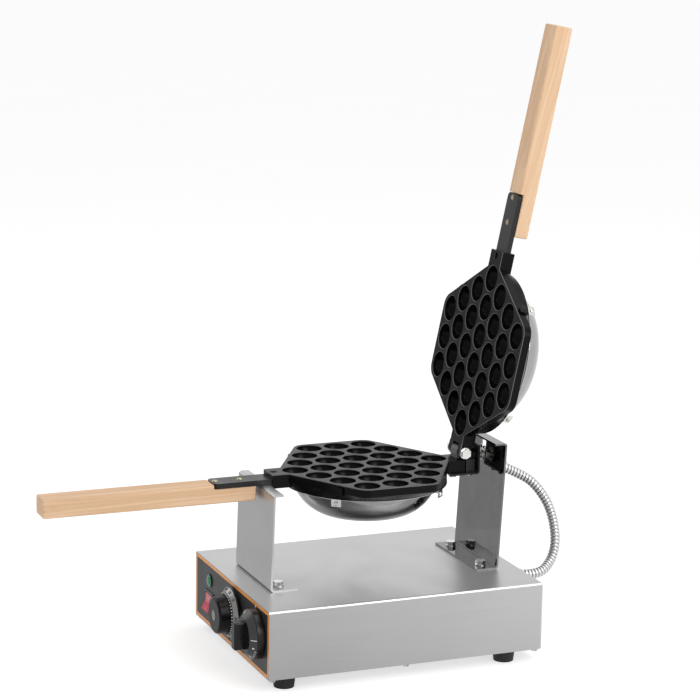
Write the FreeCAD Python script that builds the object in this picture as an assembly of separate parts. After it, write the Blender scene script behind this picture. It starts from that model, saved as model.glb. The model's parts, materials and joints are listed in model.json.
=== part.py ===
import FreeCAD, Part
import math
import os

# Electric egg waffle pan: two hinged cast pans on a stainless control box.
# Lengths are in millimetres and angles in degrees. The origin lies on the bench under the middle of
# the control box. -Y faces the cook and carries the controls, +X is the cook's right, +Z is up.

# Control box
box_width = 240.0
box_length = 320.0
box_height = 75.0
box_sheet = 1.0
box_bend = 2.5
box_lip = 12.0
foot_height = 14.0

# Pans
cavity_pitch = 33.0
cavity_radius = 14.4
cavity_mouth_round = 0.9
cavities_along_side = 3
cavities_along_axis = 6
pan_margin = 18.0
pan_corner = 16.0
pan_edge_round = 0.8
pan_wall_height = 9.0
pan_depth = 17.5
pan_back_radius = 91.0
parting_height = 207.7
closing_gap = 0.4
open_angle = 101.6

# Hinge between the pans
hinge_y = 109.5
hinge_rise = 6.3
hinge_to_pan_centre = 114.0
knuckle_radius = 7.0
knuckle_half_width = 8.0
ear_gap = 0.4
ear_half_span = 15.0
hinge_bolt_diameter = 6.0

# Brackets
bracket_width = 112.0
bracket_sheet = 2.0
bracket_bend = 1.5
bracket_bolt_inset = 16.0
bracket_bolt_setback = 14.4
front_bracket_inset = 28.0
front_lean = 1.5
front_foot_length = 30.5
front_flange_length = 11.0
rear_wall_behind_hinge = 29.3
rear_lean = 2.9
rear_foot_length = 26.3
rear_flange_length = 12.5
rear_bracket_rise = 25.0

# Handles
handle_width = 28.0
handle_height = 20.8
handle_length = 236.5
handle_overlap = 47.5
handle_below_bar = 1.0
handle_round = 2.0
bar_width = 25.0
bar_thickness = 6.0
bar_below_face = 4.9
bar_length = 80.0
bar_insert = 14.0
bar_corner = 5.0
lug_width = 28.0
lug_height = 15.3
lug_reach = 228.0

# Fits and clearances
running_gap = 0.05
thread_gap = 0.05
slip_gap = 0.2
rest_gap = 0.2
stop_gap = 0.3
cut_over = 2.0

# Heights and places that many pieces share
box_bottom = foot_height
box_top = box_bottom + box_height
box_front = -box_length / 2
box_rear = box_length / 2
face_z = parting_height - closing_gap / 2
hinge_z = parting_height + hinge_rise
pan_y = hinge_y - hinge_to_pan_centre
pan_back_z = face_z - pan_depth
bar_top = face_z - bar_below_face
bar_bottom = bar_top - bar_thickness
handle_top = bar_top - handle_below_bar
lug_front_y = hinge_y - lug_reach
sextant = math.radians(30)

X = FreeCAD.Vector(1, 0, 0)
Y = FreeCAD.Vector(0, 1, 0)
Z = FreeCAD.Vector(0, 0, 1)
ORIGIN = FreeCAD.Vector(0, 0, 0)
HINGE = FreeCAD.Vector(0, hinge_y, hinge_z)
PARTING = FreeCAD.Vector(0, 0, parting_height)

parts = {}


def point(x, y, z):
    return FreeCAD.Vector(x, y, z)


def block(x_span, y_span, z_span):
    low = point(x_span[0], y_span[0], z_span[0])
    return Part.makeBox(x_span[1] - x_span[0], y_span[1] - y_span[0], z_span[1] - z_span[0], low)


def rod(radius, start, end):
    way = end - start
    return Part.makeCylinder(radius, way.Length, start, way)


def cone(start_radius, end_radius, start, end):
    way = end - start
    return Part.makeCone(start_radius, end_radius, way.Length, start, way)


def tube(outer, inner, start, end):
    way = (end - start).normalize()
    bore = rod(inner, start - way * cut_over, end + way * cut_over)
    return rod(outer, start, end).cut(bore)


def hexagon_rod(flats, start, end):
    way = end - start
    corner = flats / 2 / math.cos(sextant)
    turn = FreeCAD.Rotation(Z, way)
    rim = [start + turn.multVec(point(corner * math.cos(a), corner * math.sin(a), 0))
           for a in (math.radians(60 * k) for k in range(7))]
    return Part.Face(Part.makePolygon(rim)).extrude(way)


def join(shapes):
    shapes = list(shapes)
    if len(shapes) == 1:
        return shapes[0]
    return shapes[0].multiFuse(shapes[1:]).removeSplitter()


def group(shapes):
    return Part.makeCompound(list(shapes))


def both_sides(x):
    return (-x, x)


def corners(x, y_values):
    return [(side, y) for side in both_sides(x) for y in y_values]


def keep(name, shape):
    parts[name] = shape


# A path of straight runs joined by tangent arcs, one radius for each point between its ends
def rounded_path(points, radii, closed=False):
    count = len(points)
    inner = range(count) if closed else range(1, count - 1)
    starts, ends, arcs = {}, {}, {}
    for i in inner:
        here, before, after = points[i], points[i - 1], points[(i + 1) % count]
        back = (before - here).normalize()
        ahead = (after - here).normalize()
        half = back.getAngle(ahead) / 2
        reach = radii[i] / math.tan(half)
        middle_way = (back + ahead).normalize()
        centre = here + middle_way * (radii[i] / math.sin(half))
        starts[i] = here + back * reach
        ends[i] = here + ahead * reach
        arcs[i] = Part.Arc(starts[i], centre - middle_way * radii[i], ends[i]).toShape()
    edges = []
    for i in range(count if closed else count - 1):
        after = (i + 1) % count
        line_start = ends.get(i, points[i])
        line_end = starts.get(after, points[after])
        edges.append(Part.LineSegment(line_start, line_end).toShape())
        if after in arcs:
            edges.append(arcs[after])
    return edges


# Bent sheet: one side follows the (y, z) places, and the metal lies to the left of the way along them
def bent_sheet(places, thickness, bend, x_span):
    ways = []
    for (y0, z0), (y1, z1) in zip(places, places[1:]):
        run = math.hypot(y1 - y0, z1 - z0)
        ways.append(((y1 - y0) / run, (z1 - z0) / run))
    near, far, near_radii, far_radii = [], [], [], []
    for i, (y, z) in enumerate(places):
        before = ways[max(i - 1, 0)]
        after = ways[min(i, len(ways) - 1)]
        lean = 1 + before[0] * after[0] + before[1] * after[1]
        shift_y = -(before[1] + after[1]) / lean * thickness
        shift_z = (before[0] + after[0]) / lean * thickness
        turns_left = before[0] * after[1] - before[1] * after[0] > 0
        near.append(point(x_span[0], y, z))
        far.append(point(x_span[0], y + shift_y, z + shift_z))
        near_radii.append(bend + thickness if turns_left else bend)
        far_radii.append(bend if turns_left else bend + thickness)
    edges = rounded_path(near, near_radii)
    edges.append(Part.LineSegment(near[-1], far[-1]).toShape())
    edges += rounded_path(far[::-1], far_radii[::-1])
    edges.append(Part.LineSegment(far[0], near[0]).toShape())
    face = Part.Face(Part.Wire(Part.__sortEdges__(edges)))
    return face.extrude(X * (x_span[1] - x_span[0]))


# Fasteners, each set on a seat and pointing along a way
head_round_share = 0.4
slot_depth_share = 0.45
slot_width_share = 0.18


def hexagon_bolt(diameter, flats, head, length, seat, way):
    shank = rod(diameter / 2, seat, seat + way * length)
    return join([hexagon_rod(flats, seat - way * head, seat), shank])


def round_screw(diameter, head_diameter, head, length, seat, way):
    crown = rod(head_diameter / 2, seat - way * head, seat)
    far = max((e for e in crown.Edges if e.Closed), key=lambda e: (e.CenterOfMass - seat).Length)
    crown = crown.makeFillet(head * head_round_share, [far])
    slot_depth = head * slot_depth_share
    slot_width = head_diameter * slot_width_share
    across = Y if abs(way.dot(X)) > abs(way.dot(Y)) else X
    slot_floor = seat - way * (head - slot_depth)
    slot = rod(slot_width / 2, ORIGIN, across * head_diameter)
    slot.translate(slot_floor - across * (head_diameter / 2) - way * (slot_width / 2 - slot_depth))
    return join([crown, rod(diameter / 2, seat, seat + way * length)]).cut(slot)


def nut(diameter, flats, height, seat, way):
    bore = rod(diameter / 2 + thread_gap, seat - way * cut_over, seat + way * (height + cut_over))
    return hexagon_rod(flats, seat, seat + way * height).cut(bore)


def washer(diameter, outer, height, seat, way):
    return tube(outer / 2, diameter / 2 + slip_gap, seat, seat + way * height)


# M6 hardware of the brackets and the hinge
m6 = 6.0
m6_flats = 10.0
m6_head = 4.0
m6_nut = 5.0
m6_washer = 12.5
m6_washer_height = 1.2

# M8, M5 and M4 hardware
m8 = 8.0
m5 = 5.0
m5_head_diameter = 9.0
m5_head = 3.2
m4 = 4.0
m4_head_diameter = 7.6
m4_head = 2.6


# Control box cover: top, sides, rear wall and a lip all round underneath
conduit_inset = 68.0
conduit_drop = 10.5
mains_inset = 40.0
mains_rise = 34.0
conduit_x = box_width / 2 - conduit_inset
conduit_z = box_top - conduit_drop
mains_x = mains_inset - box_width / 2
mains_z = box_bottom + mains_rise
conduit_stub = 6.0
mains_stub = 9.0


def box_cover():
    half = box_width / 2
    outer = block((-half, half), (box_front, box_rear), (box_bottom, box_top))
    inner = block((box_sheet - half, half - box_sheet), (box_front - cut_over, box_rear - box_sheet),
                  (box_bottom + box_sheet, box_top - box_sheet))

    def bends(shape, rear, top, side):
        chosen = []
        for edge in shape.Edges:
            middle = edge.CenterOfMass
            at_rear = abs(middle.y - rear) < box_sheet / 2
            at_top = abs(middle.z - top) < box_sheet / 2
            at_side = abs(abs(middle.x) - side) < box_sheet / 2
            if (at_rear and at_top) or (at_rear and at_side) or (at_top and at_side):
                chosen.append(edge)
        return chosen

    outer = outer.makeFillet(box_bend, bends(outer, box_rear, box_top, half))
    inner = inner.makeFillet(box_bend - box_sheet,
                             bends(inner, box_rear - box_sheet, box_top - box_sheet, half - box_sheet))
    well = block((box_lip - half, half - box_lip), (box_front + box_lip, box_rear - box_lip),
                 (box_bottom - cut_over, box_bottom + cut_over))
    cover = outer.cut(inner).cut(well)
    holes = [rod(m6 / 2 + slip_gap, point(x, y, box_top - cut_over), point(x, y, box_top + cut_over))
             for x, y in bracket_bolt_places()]
    for x, z, radius in ((conduit_x, conduit_z, conduit_stub), (mains_x, mains_z, mains_stub)):
        holes.append(rod(radius + slip_gap, point(x, box_rear - cut_over, z),
                         point(x, box_rear + cut_over, z)))
    holes += [rod(m4 / 2, point(x, y, box_bottom - cut_over), point(x, y, box_bottom + cut_over))
              for x, y in bottom_screw_places()]
    return cover.cut(group(holes))


# Both brackets lean: the front wall is placed by its top, the rear wall by its height at the slot
front_bracket_top = bar_bottom - rest_gap
rear_bracket_top = parting_height + rear_bracket_rise
front_wall_y = box_front + front_bracket_inset
front_foot_y = front_wall_y - (front_bracket_top - box_top) * math.tan(math.radians(front_lean))
rear_wall_y = hinge_y + rear_wall_behind_hinge


def rear_wall_back(z):
    lean = math.radians(rear_lean)
    return rear_wall_y + bracket_sheet / math.cos(lean) + (z - parting_height) * math.tan(lean)


bracket_bolt_x = bracket_width / 2 - bracket_bolt_inset
front_bolt_y = front_foot_y + bracket_bolt_setback
rear_bolt_y = rear_wall_back(box_top) - bracket_bolt_setback


def bracket_bolt_places():
    return corners(bracket_bolt_x, (front_bolt_y, rear_bolt_y))


# Bottom plate under the lip, with rows of cooling slots
plate_inset = 2.0
plate_slot_length = 46.0
plate_slot_width = 5.0
plate_slot_pitch = 15.0
plate_slots = 5


def bottom_screw_places():
    inset = box_lip / 2
    return corners(box_width / 2 - inset, (box_front + inset, 0, box_rear - inset))


def foot_places():
    return corners(foot_x, (box_front + foot_front_inset, box_rear - foot_rear_inset))


def bottom_plate():
    half = box_width / 2 - plate_inset
    plate = block((-half, half), (box_front + plate_inset, box_rear - plate_inset),
                  (box_bottom - box_sheet, box_bottom))
    low, high = box_bottom - box_sheet - cut_over, box_bottom + cut_over
    tools = []
    for side in both_sides(plate_slot_length):
        for k in range(plate_slots):
            y = (k - (plate_slots - 1) / 2) * plate_slot_pitch
            ends = both_sides((plate_slot_length - plate_slot_width) / 2)
            tools.append(block((side + ends[0], side + ends[1]),
                               (y - plate_slot_width / 2, y + plate_slot_width / 2), (low, high)))
            tools += [rod(plate_slot_width / 2, point(side + end, y, low), point(side + end, y, high))
                      for end in ends]
    tools += [rod(m4 / 2 + slip_gap, point(x, y, low), point(x, y, high))
              for x, y in bottom_screw_places()]
    tools += [rod(m5 / 2 + slip_gap, point(x, y, low), point(x, y, high)) for x, y in foot_places()]
    return plate.cut(join(tools))


bottom_screw_length = 7.0


def bottom_screws():
    return group(round_screw(m4, m4_head_diameter, m4_head, bottom_screw_length,
                             point(x, y, box_bottom - box_sheet), Z)
                 for x, y in bottom_screw_places())


# Rubber feet and the screws in their recesses
foot_side_inset = 18.0
foot_x = box_width / 2 - foot_side_inset
foot_front_inset = 24.0
foot_rear_inset = 38.0
foot_top_radius = 12.5
foot_base_radius = 11.0
foot_recess_radius = 6.0
foot_recess_depth = 6.5
foot_screw_length = 14.0
foot_nut_height = 4.0
foot_nut_flats = 8.0


def foot(x, y):
    top = box_bottom - box_sheet
    body = cone(foot_base_radius, foot_top_radius, point(x, y, 0), point(x, y, top))
    recess = rod(foot_recess_radius, point(x, y, -cut_over), point(x, y, foot_recess_depth))
    hole = rod(m5 / 2 + slip_gap, point(x, y, 0), point(x, y, top + cut_over))
    return body.cut(recess).cut(hole)


def feet():
    return group(foot(x, y) for x, y in foot_places())


def foot_screws():
    return group(round_screw(m5, m5_head_diameter, m5_head, foot_screw_length,
                             point(x, y, foot_recess_depth), Z) for x, y in foot_places())


def foot_nuts():
    return group(nut(m5, foot_nut_flats, foot_nut_height, point(x, y, box_bottom), Z)
                 for x, y in foot_places())


# Front plate, dark panel sheet and orange border
panel_sheet = 0.6
panel_border = 3.6
front_plate_sheet = 1.2
front_plate_lip = 10.0
lamp_inset = 49.0
lamp_drop = 21.0
switch_inset = 48.0
switch_rise = 27.5
timer_inset = 36.5
knob_spacing = 73.5
knob_rise = 41.0
lamp_x = lamp_inset - box_width / 2
lamp_z = box_top - lamp_drop
switch_x = switch_inset - box_width / 2
switch_z = box_bottom + switch_rise
timer_x = box_width / 2 - timer_inset
thermostat_x = timer_x - knob_spacing
knob_z = box_bottom + knob_rise
lamp_neck_radius = 5.5
switch_neck_width = 25.2
switch_neck_height = 25.4
shaft_radius = 3.0
bushing_radius = 4.5


def panel_holes(depth_span):
    y0, y1 = depth_span
    holes = [rod(lamp_neck_radius + slip_gap, point(lamp_x, y0, lamp_z), point(lamp_x, y1, lamp_z))]
    half_w = switch_neck_width / 2 + slip_gap
    half_h = switch_neck_height / 2 + slip_gap
    holes.append(block((switch_x - half_w, switch_x + half_w), (y0, y1),
                       (switch_z - half_h, switch_z + half_h)))
    holes += [rod(bushing_radius + slip_gap, point(x, y0, knob_z), point(x, y1, knob_z))
              for x in (thermostat_x, timer_x)]
    return group(holes)


panel_half = box_width / 2 - box_sheet - slip_gap
panel_low = box_bottom + box_sheet + slip_gap
panel_high = box_top - box_sheet - slip_gap
panel_back = box_front + panel_sheet
plate_back = panel_back + front_plate_sheet


# The two top corners of a sheet behind the cover's rounded bends
def round_top_corners(shape):
    chosen = [e for e in shape.Edges
              if abs(abs(e.CenterOfMass.x) - panel_half) < rest_gap and e.BoundBox.YLength > panel_sheet / 2
              and abs(e.CenterOfMass.z - panel_high) < rest_gap]
    return shape.makeFillet(box_bend - box_sheet, chosen)


def front_plate():
    plate = block((-panel_half, panel_half), (panel_back, plate_back), (panel_low, panel_high))
    lip = block((-panel_half, panel_half), (plate_back, plate_back + front_plate_lip),
                (panel_low, panel_low + front_plate_sheet))
    sides = [block(sorted((side, side - math.copysign(front_plate_sheet, side))),
                   (plate_back, plate_back + front_plate_lip), (panel_low, panel_high))
             for side in both_sides(panel_half)]
    folded = round_top_corners(join([plate, lip] + sides))
    holes = [rod(m4 / 2 + slip_gap, point(x, y, panel_low - cut_over), point(x, y, panel_low + cut_over))
             for x, y in bottom_screw_places()]
    return folded.cut(panel_holes((box_front, plate_back + cut_over))).cut(group(holes))


def panel_field():
    half = panel_half - panel_border
    sheet = block((-half, half), (box_front, panel_back),
                  (panel_low + panel_border, panel_high - panel_border))
    return sheet.cut(panel_holes((box_front - cut_over, plate_back)))


def panel_trim():
    half = panel_half - panel_border
    sheet = block((-panel_half, panel_half), (box_front, panel_back), (panel_low, panel_high))
    sheet = round_top_corners(sheet)
    window = block((-half, half), (box_front - cut_over, panel_back + cut_over),
                   (panel_low + panel_border, panel_high - panel_border))
    return sheet.cut(window)


# Pilot lamp: dark ring and body, and a domed lens
lamp_ring_radius = 7.6
lamp_ring_thickness = 1.2
lamp_lens_radius = 6.9
lamp_lens_rise = 2.2
lamp_body_length = 24.0
lamp_lens_depth = 4.0


def lamp_body():
    ring_front = box_front - lamp_ring_thickness
    ring = rod(lamp_ring_radius, point(lamp_x, ring_front, lamp_z), point(lamp_x, box_front, lamp_z))
    neck = rod(lamp_neck_radius, point(lamp_x, box_front, lamp_z),
               point(lamp_x, box_front + lamp_body_length, lamp_z))
    seat = rod(lamp_neck_radius - lamp_ring_thickness, point(lamp_x, ring_front - cut_over, lamp_z),
               point(lamp_x, ring_front + lamp_lens_depth, lamp_z))
    return join([ring, neck]).cut(seat)


def lamp_lens():
    front = box_front - lamp_ring_thickness
    stem = lamp_neck_radius - lamp_ring_thickness - running_gap
    back = front + lamp_lens_depth - slip_gap
    dome_radius = (lamp_lens_radius ** 2 + lamp_lens_rise ** 2) / (2 * lamp_lens_rise)
    half = math.asin(lamp_lens_radius / dome_radius) / 2
    tip = point(lamp_x, front - lamp_lens_rise, lamp_z)
    middle = point(lamp_x + dome_radius * math.sin(half), tip.y + dome_radius * (1 - math.cos(half)), lamp_z)
    rim = point(lamp_x + lamp_lens_radius, front, lamp_z)
    neck = [rim, point(lamp_x + stem, front, lamp_z), point(lamp_x + stem, back, lamp_z),
            point(lamp_x, back, lamp_z), tip]
    edges = [Part.Arc(tip, middle, rim).toShape()]
    edges += [Part.LineSegment(a, b).toShape() for a, b in zip(neck, neck[1:])]
    return Part.Face(Part.Wire(edges)).revolve(tip, Y, 360)


# Rocker switch: frame with its body, and the rocker on two pins
switch_frame_width = 28.0
switch_frame_height = 27.4
switch_frame_thickness = 1.8
switch_body_depth = 22.0
rocker_width = 20.8
rocker_half_height = 9.8
rocker_front = 5.4
rocker_dip = 2.2
rocker_back = 2.4
rocker_swing = 14.0
rocker_pin_radius = 1.5
rocker_pin_length = 0.7
rocker_room = 0.5
switch_cell_depth = 6.0
rocker_depth = 1.5
rocker_y = box_front + rocker_depth


def rocker_cell():
    height = rocker_half_height + rocker_front * math.sin(math.radians(rocker_swing)) + rocker_room
    width = rocker_width / 2 + slip_gap
    return block((switch_x - width, switch_x + width),
                 (box_front - switch_frame_thickness - cut_over, rocker_y + switch_cell_depth),
                 (switch_z - height, switch_z + height))


def switch_frame():
    half_w, half_h = switch_frame_width / 2, switch_frame_height / 2
    frame = block((switch_x - half_w, switch_x + half_w),
                  (box_front - switch_frame_thickness, box_front),
                  (switch_z - half_h, switch_z + half_h))
    front = [e for e in frame.Edges if abs(e.CenterOfMass.y - frame.BoundBox.YMin) < rocker_room]
    frame = frame.makeChamfer(switch_frame_thickness / 2, front)
    neck_w, neck_h = switch_neck_width / 2, switch_neck_height / 2
    neck = block((switch_x - neck_w, switch_x + neck_w), (box_front, box_front + switch_body_depth),
                 (switch_z - neck_h, switch_z + neck_h))
    reach = rocker_width / 2 + rocker_pin_length + slip_gap
    pins = rod(rocker_pin_radius + running_gap, point(switch_x - reach, rocker_y, switch_z),
               point(switch_x + reach, rocker_y, switch_z))
    return join([frame, neck]).cut(rocker_cell()).cut(pins)


def rocker():
    half = rocker_width / 2
    back = rocker_y + rocker_back
    front = rocker_y - rocker_front
    places = [(back, rocker_half_height), (back, -rocker_half_height), (front, -rocker_half_height),
              (front + rocker_dip, 0), (front, rocker_half_height)]
    rim = [point(switch_x - half, y, switch_z + z) for y, z in places]
    body = Part.Face(Part.makePolygon(rim + rim[:1])).extrude(X * rocker_width)
    reach = half + rocker_pin_length
    pins = rod(rocker_pin_radius, point(switch_x - reach, rocker_y, switch_z),
               point(switch_x + reach, rocker_y, switch_z))
    shape = join([body, pins])
    shape.rotate(point(switch_x, rocker_y, switch_z), X, -rocker_swing)
    return shape


# Temperature knob: a plain cap on a bevelled, numbered dial
dial_gap = 3.6
dial_rim = 1.0
dial_bevel = 6.8
dial_radius = 29.5
dial_front_radius = 22.6
cap_radius = 21.4
cap_front_radius = 20.0
cap_length = 12.0
cap_round = 2.8
cap_grooves = 24
cap_groove_radius = 0.9
cap_groove_length = 6.5
cap_bore_depth = 8.0
dial_front_y = box_front - dial_gap - dial_rim - dial_bevel
cap_front_y = dial_front_y - cap_length


def knob_bore(x, end_y):
    return rod(shaft_radius + running_gap, point(x, box_front, knob_z), point(x, end_y, knob_z))


# A short rim with a bevel in front of it
def dial(x, back_y, rim, bevel, radius, front_radius):
    edge = rod(radius, point(x, back_y, knob_z), point(x, back_y - rim, knob_z))
    slope = cone(radius, front_radius, point(x, back_y - rim, knob_z), point(x, back_y - rim - bevel, knob_z))
    return join([edge, slope]).cut(knob_bore(x, back_y - rim - bevel - cut_over))


def temperature_dial():
    return dial(thermostat_x, box_front - dial_gap, dial_rim, dial_bevel, dial_radius, dial_front_radius)


def temperature_cap():
    body = cone(cap_radius, cap_front_radius, point(thermostat_x, dial_front_y, knob_z),
                point(thermostat_x, cap_front_y, knob_z))
    rim = min((e for e in body.Edges if e.Closed), key=lambda e: e.CenterOfMass.y)
    body = body.makeFillet(cap_round, [rim])
    grooves = []
    for k in range(cap_grooves):
        angle = math.tau * k / cap_grooves
        x = thermostat_x + (cap_radius + cap_groove_radius / 2) * math.cos(angle)
        z = knob_z + (cap_radius + cap_groove_radius / 2) * math.sin(angle)
        grooves.append(rod(cap_groove_radius, point(x, dial_front_y + cut_over, z),
                           point(x, dial_front_y - cap_groove_length, z)))
    return body.cut(group(grooves)).cut(knob_bore(thermostat_x, dial_front_y - cap_bore_depth))


# Timer knob: a bar grip on a bevelled, graduated dial
timer_gap = 0.8
timer_rim = 7.6
timer_bevel = 7.4
timer_dial_radius = 27.0
timer_dial_front_radius = 19.6
grip_length = 30.0
grip_width = 10.4
grip_height = 11.6
grip_round = 1.6
grip_bore_depth = 8.0
timer_front_y = box_front - timer_gap - timer_rim - timer_bevel


def timer_dial():
    return dial(timer_x, box_front - timer_gap, timer_rim, timer_bevel, timer_dial_radius,
                timer_dial_front_radius)


def timer_grip():
    front = timer_front_y - grip_height
    grip = block((timer_x - grip_width / 2, timer_x + grip_width / 2), (front, timer_front_y),
                 (knob_z - grip_length / 2, knob_z + grip_length / 2))
    kept = [e for e in grip.Edges if abs(e.CenterOfMass.y - timer_front_y) > grip_round]
    return grip.makeFillet(grip_round, kept).cut(knob_bore(timer_x, timer_front_y - grip_bore_depth))


# Thermostat and timer behind the plate, with the shafts that the knobs turn
thermostat_size = 36.0
thermostat_depth = 26.0
timer_size = 40.0
timer_depth = 38.0
bushing_end = 0.4
shaft_flat = 0.8
control_case_round = 3.0


def control_case(x, size, depth):
    half = size / 2
    case = block((x - half, x + half), (plate_back, plate_back + depth), (knob_z - half, knob_z + half))
    long_edges = [e for e in case.Edges if abs(e.CenterOfMass.y - plate_back - depth / 2) < rest_gap]
    case = case.makeFillet(control_case_round, long_edges)
    bushing = rod(bushing_radius, point(x, box_front - bushing_end, knob_z),
                  point(x, plate_back, knob_z))
    well = rod(shaft_radius + running_gap, point(x, box_front - cut_over, knob_z),
               point(x, plate_back + depth / 2, knob_z))
    return join([case, bushing]).cut(well)


def control_shaft(x, depth, bore_end):
    end = bore_end + slip_gap
    shaft = rod(shaft_radius, point(x, end, knob_z), point(x, plate_back + depth / 2 - slip_gap, knob_z))
    flat_low = knob_z + shaft_radius - shaft_flat
    flat = block((x - shaft_radius, x + shaft_radius), (end, box_front), (flat_low, knob_z + shaft_radius))
    return shaft.cut(flat)


# Terminal block on the bottom plate
terminal_inset = 90.0
terminal_from_rear = 90.0
terminal_x = terminal_inset - box_width / 2
terminal_y = box_rear - terminal_from_rear
terminal_length = 46.0
terminal_width = 20.0
terminal_height = 16.0
terminal_poles = 4
terminal_screw_radius = 3.2
terminal_screw_depth = 9.0


def terminal_block():
    body = block((terminal_x - terminal_length / 2, terminal_x + terminal_length / 2),
                 (terminal_y - terminal_width / 2, terminal_y + terminal_width / 2),
                 (box_bottom, box_bottom + terminal_height))
    pitch = terminal_length / terminal_poles
    top = box_bottom + terminal_height
    wells = []
    for k in range(terminal_poles):
        x = terminal_x + (k - (terminal_poles - 1) / 2) * pitch
        for y in (terminal_y - terminal_width / 4, terminal_y + terminal_width / 4):
            wells.append(rod(terminal_screw_radius, point(x, y, top - terminal_screw_depth),
                             point(x, y, top + cut_over)))
    return body.cut(group(wells))


# Mains gland in the rear wall: body, cap and lock nut round an open bore
mains_bore = 4.2
mains_flats = 24.0
mains_collar = 5.0
mains_cap_radius = 10.5
mains_cap_length = 9.0
mains_inside = 11.0
lock_nut_height = 4.0
lock_nut_extra = 3.5


def mains_gland():
    at = point(mains_x, box_rear, mains_z)
    collar = hexagon_rod(mains_flats, at, at + Y * mains_collar)
    cap = cone(mains_cap_radius, mains_cap_radius - mains_collar / 2, at + Y * mains_collar,
               at + Y * (mains_collar + mains_cap_length))
    stub = rod(mains_stub, at - Y * mains_inside, at)
    bore = rod(mains_bore, at - Y * (mains_inside + cut_over),
               at + Y * (mains_collar + mains_cap_length + cut_over))
    return join([collar, cap, stub]).cut(bore)


def lock_nut(stub_radius, x, z):
    return nut(2 * stub_radius, 2 * stub_radius + lock_nut_extra, lock_nut_height,
               point(x, box_rear - box_sheet, z), -Y)


# Brackets
shaft_outer = 5.0
shaft_bore = 3.4
slot_radius = 6.2
slot_z = parting_height + slot_radius - shaft_outer - slip_gap


def bracket_foot_holes(y):
    return group(rod(m6 / 2 + slip_gap, point(x, y, box_top - cut_over),
                     point(x, y, box_top + bracket_sheet + cut_over))
                 for x in both_sides(bracket_bolt_x))


def front_bracket():
    places = [(front_wall_y + front_flange_length, front_bracket_top), (front_wall_y, front_bracket_top),
              (front_foot_y, box_top), (front_foot_y + front_foot_length, box_top)]
    span = both_sides(bracket_width / 2)
    return bent_sheet(places, bracket_sheet, bracket_bend, span).cut(bracket_foot_holes(front_bolt_y))


def rear_bracket():
    foot_y, back = rear_wall_back(box_top), rear_wall_back(rear_bracket_top)
    places = [(foot_y - rear_foot_length, box_top), (foot_y, box_top), (back, rear_bracket_top),
              (back - rear_flange_length - bracket_sheet, rear_bracket_top)]
    sheet = bent_sheet(places, bracket_sheet, bracket_bend, both_sides(bracket_width / 2))
    reach = (back - rear_flange_length - bracket_sheet - cut_over, back + cut_over)
    slot = block(both_sides(slot_radius), reach, (slot_z, rear_bracket_top + cut_over))
    round_end = rod(slot_radius, point(0, rear_wall_y - bracket_sheet, slot_z),
                    point(0, back + cut_over, slot_z))
    return sheet.cut(slot).cut(round_end).cut(bracket_foot_holes(rear_bolt_y))


bracket_bolt_length = 16.0


def bracket_bolts():
    seat = box_top + bracket_sheet + m6_washer_height
    return group(hexagon_bolt(m6, m6_flats, m6_head, bracket_bolt_length, point(x, y, seat), -Z)
                 for x, y in bracket_bolt_places())


def bracket_washers():
    return group(washer(m6, m6_washer, m6_washer_height, point(x, y, box_top + bracket_sheet), Z)
                 for x, y in bracket_bolt_places())


def bracket_nuts():
    return group(nut(m6, m6_flats, m6_nut, point(x, y, box_top - box_sheet), -Z)
                 for x, y in bracket_bolt_places())


# Casting that both pans share: hexagonal face, round back, cavities and handle lug
def pan_outline(z):
    side_x = (cavities_along_side * math.sqrt(3) / 2) * cavity_pitch + pan_margin
    tip_y = (cavities_along_axis - 1) / 2 * cavity_pitch + pan_margin / math.cos(sextant)
    side_y = tip_y - side_x * math.tan(sextant)
    places = [(0, tip_y), (-side_x, side_y), (-side_x, -side_y), (0, -tip_y), (side_x, -side_y),
              (side_x, side_y)]
    rim = [point(x, pan_y + y, z) for x, y in places]
    return rounded_path(rim, [pan_corner] * len(rim), closed=True)


def circle_like(edges, radius, z):
    centre = point(0, pan_y, z)

    def on_circle(place):
        way = point(place.x, place.y - pan_y, 0).normalize()
        return centre + way * radius

    arcs = []
    for edge in edges:
        first = on_circle(edge.valueAt(edge.FirstParameter))
        last = on_circle(edge.valueAt(edge.LastParameter))
        middle = on_circle((first + last) / 2)
        arcs.append(Part.Arc(first, middle, last).toShape())
    return arcs


def cavity_places():
    places = []
    for column in range(-cavities_along_side, cavities_along_side + 1):
        x = column * cavity_pitch * math.sqrt(3) / 2
        middle = (cavities_along_axis - 1 + abs(column)) / 2
        for k in range(cavities_along_axis)[abs(column):]:
            places.append((x, pan_y + (k - middle) * cavity_pitch))
    return places


# One cavity: a hemisphere whose mouth rolls over into the face
def cavity_tool():
    centre_r = math.sqrt(cavity_radius ** 2 + 2 * cavity_radius * cavity_mouth_round)
    full = cavity_radius + cavity_mouth_round
    touch_r = centre_r * cavity_radius / full
    touch_z = -cavity_mouth_round * cavity_radius / full
    mouth_angle = (math.atan2(centre_r - touch_r, cavity_mouth_round + touch_z)) / 2
    bottom = point(0, 0, -cavity_radius)
    deep_angle = math.radians(45)
    deep = point(cavity_radius * math.sin(deep_angle), 0, -cavity_radius * math.cos(deep_angle))
    touch = point(touch_r, 0, touch_z)
    rolled = point(centre_r - cavity_mouth_round * math.sin(mouth_angle), 0,
                   cavity_mouth_round * (math.cos(mouth_angle) - 1))
    mouth = point(centre_r, 0, 0)
    above = point(centre_r, 0, cut_over)
    edges = [Part.Arc(bottom, deep, touch).toShape(), Part.Arc(touch, rolled, mouth).toShape(),
             Part.LineSegment(mouth, above).toShape(),
             Part.LineSegment(above, point(0, 0, cut_over)).toShape(),
             Part.LineSegment(point(0, 0, cut_over), bottom).toShape()]
    return Part.Face(Part.Wire(edges)).revolve(ORIGIN, Z, 360)


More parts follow.
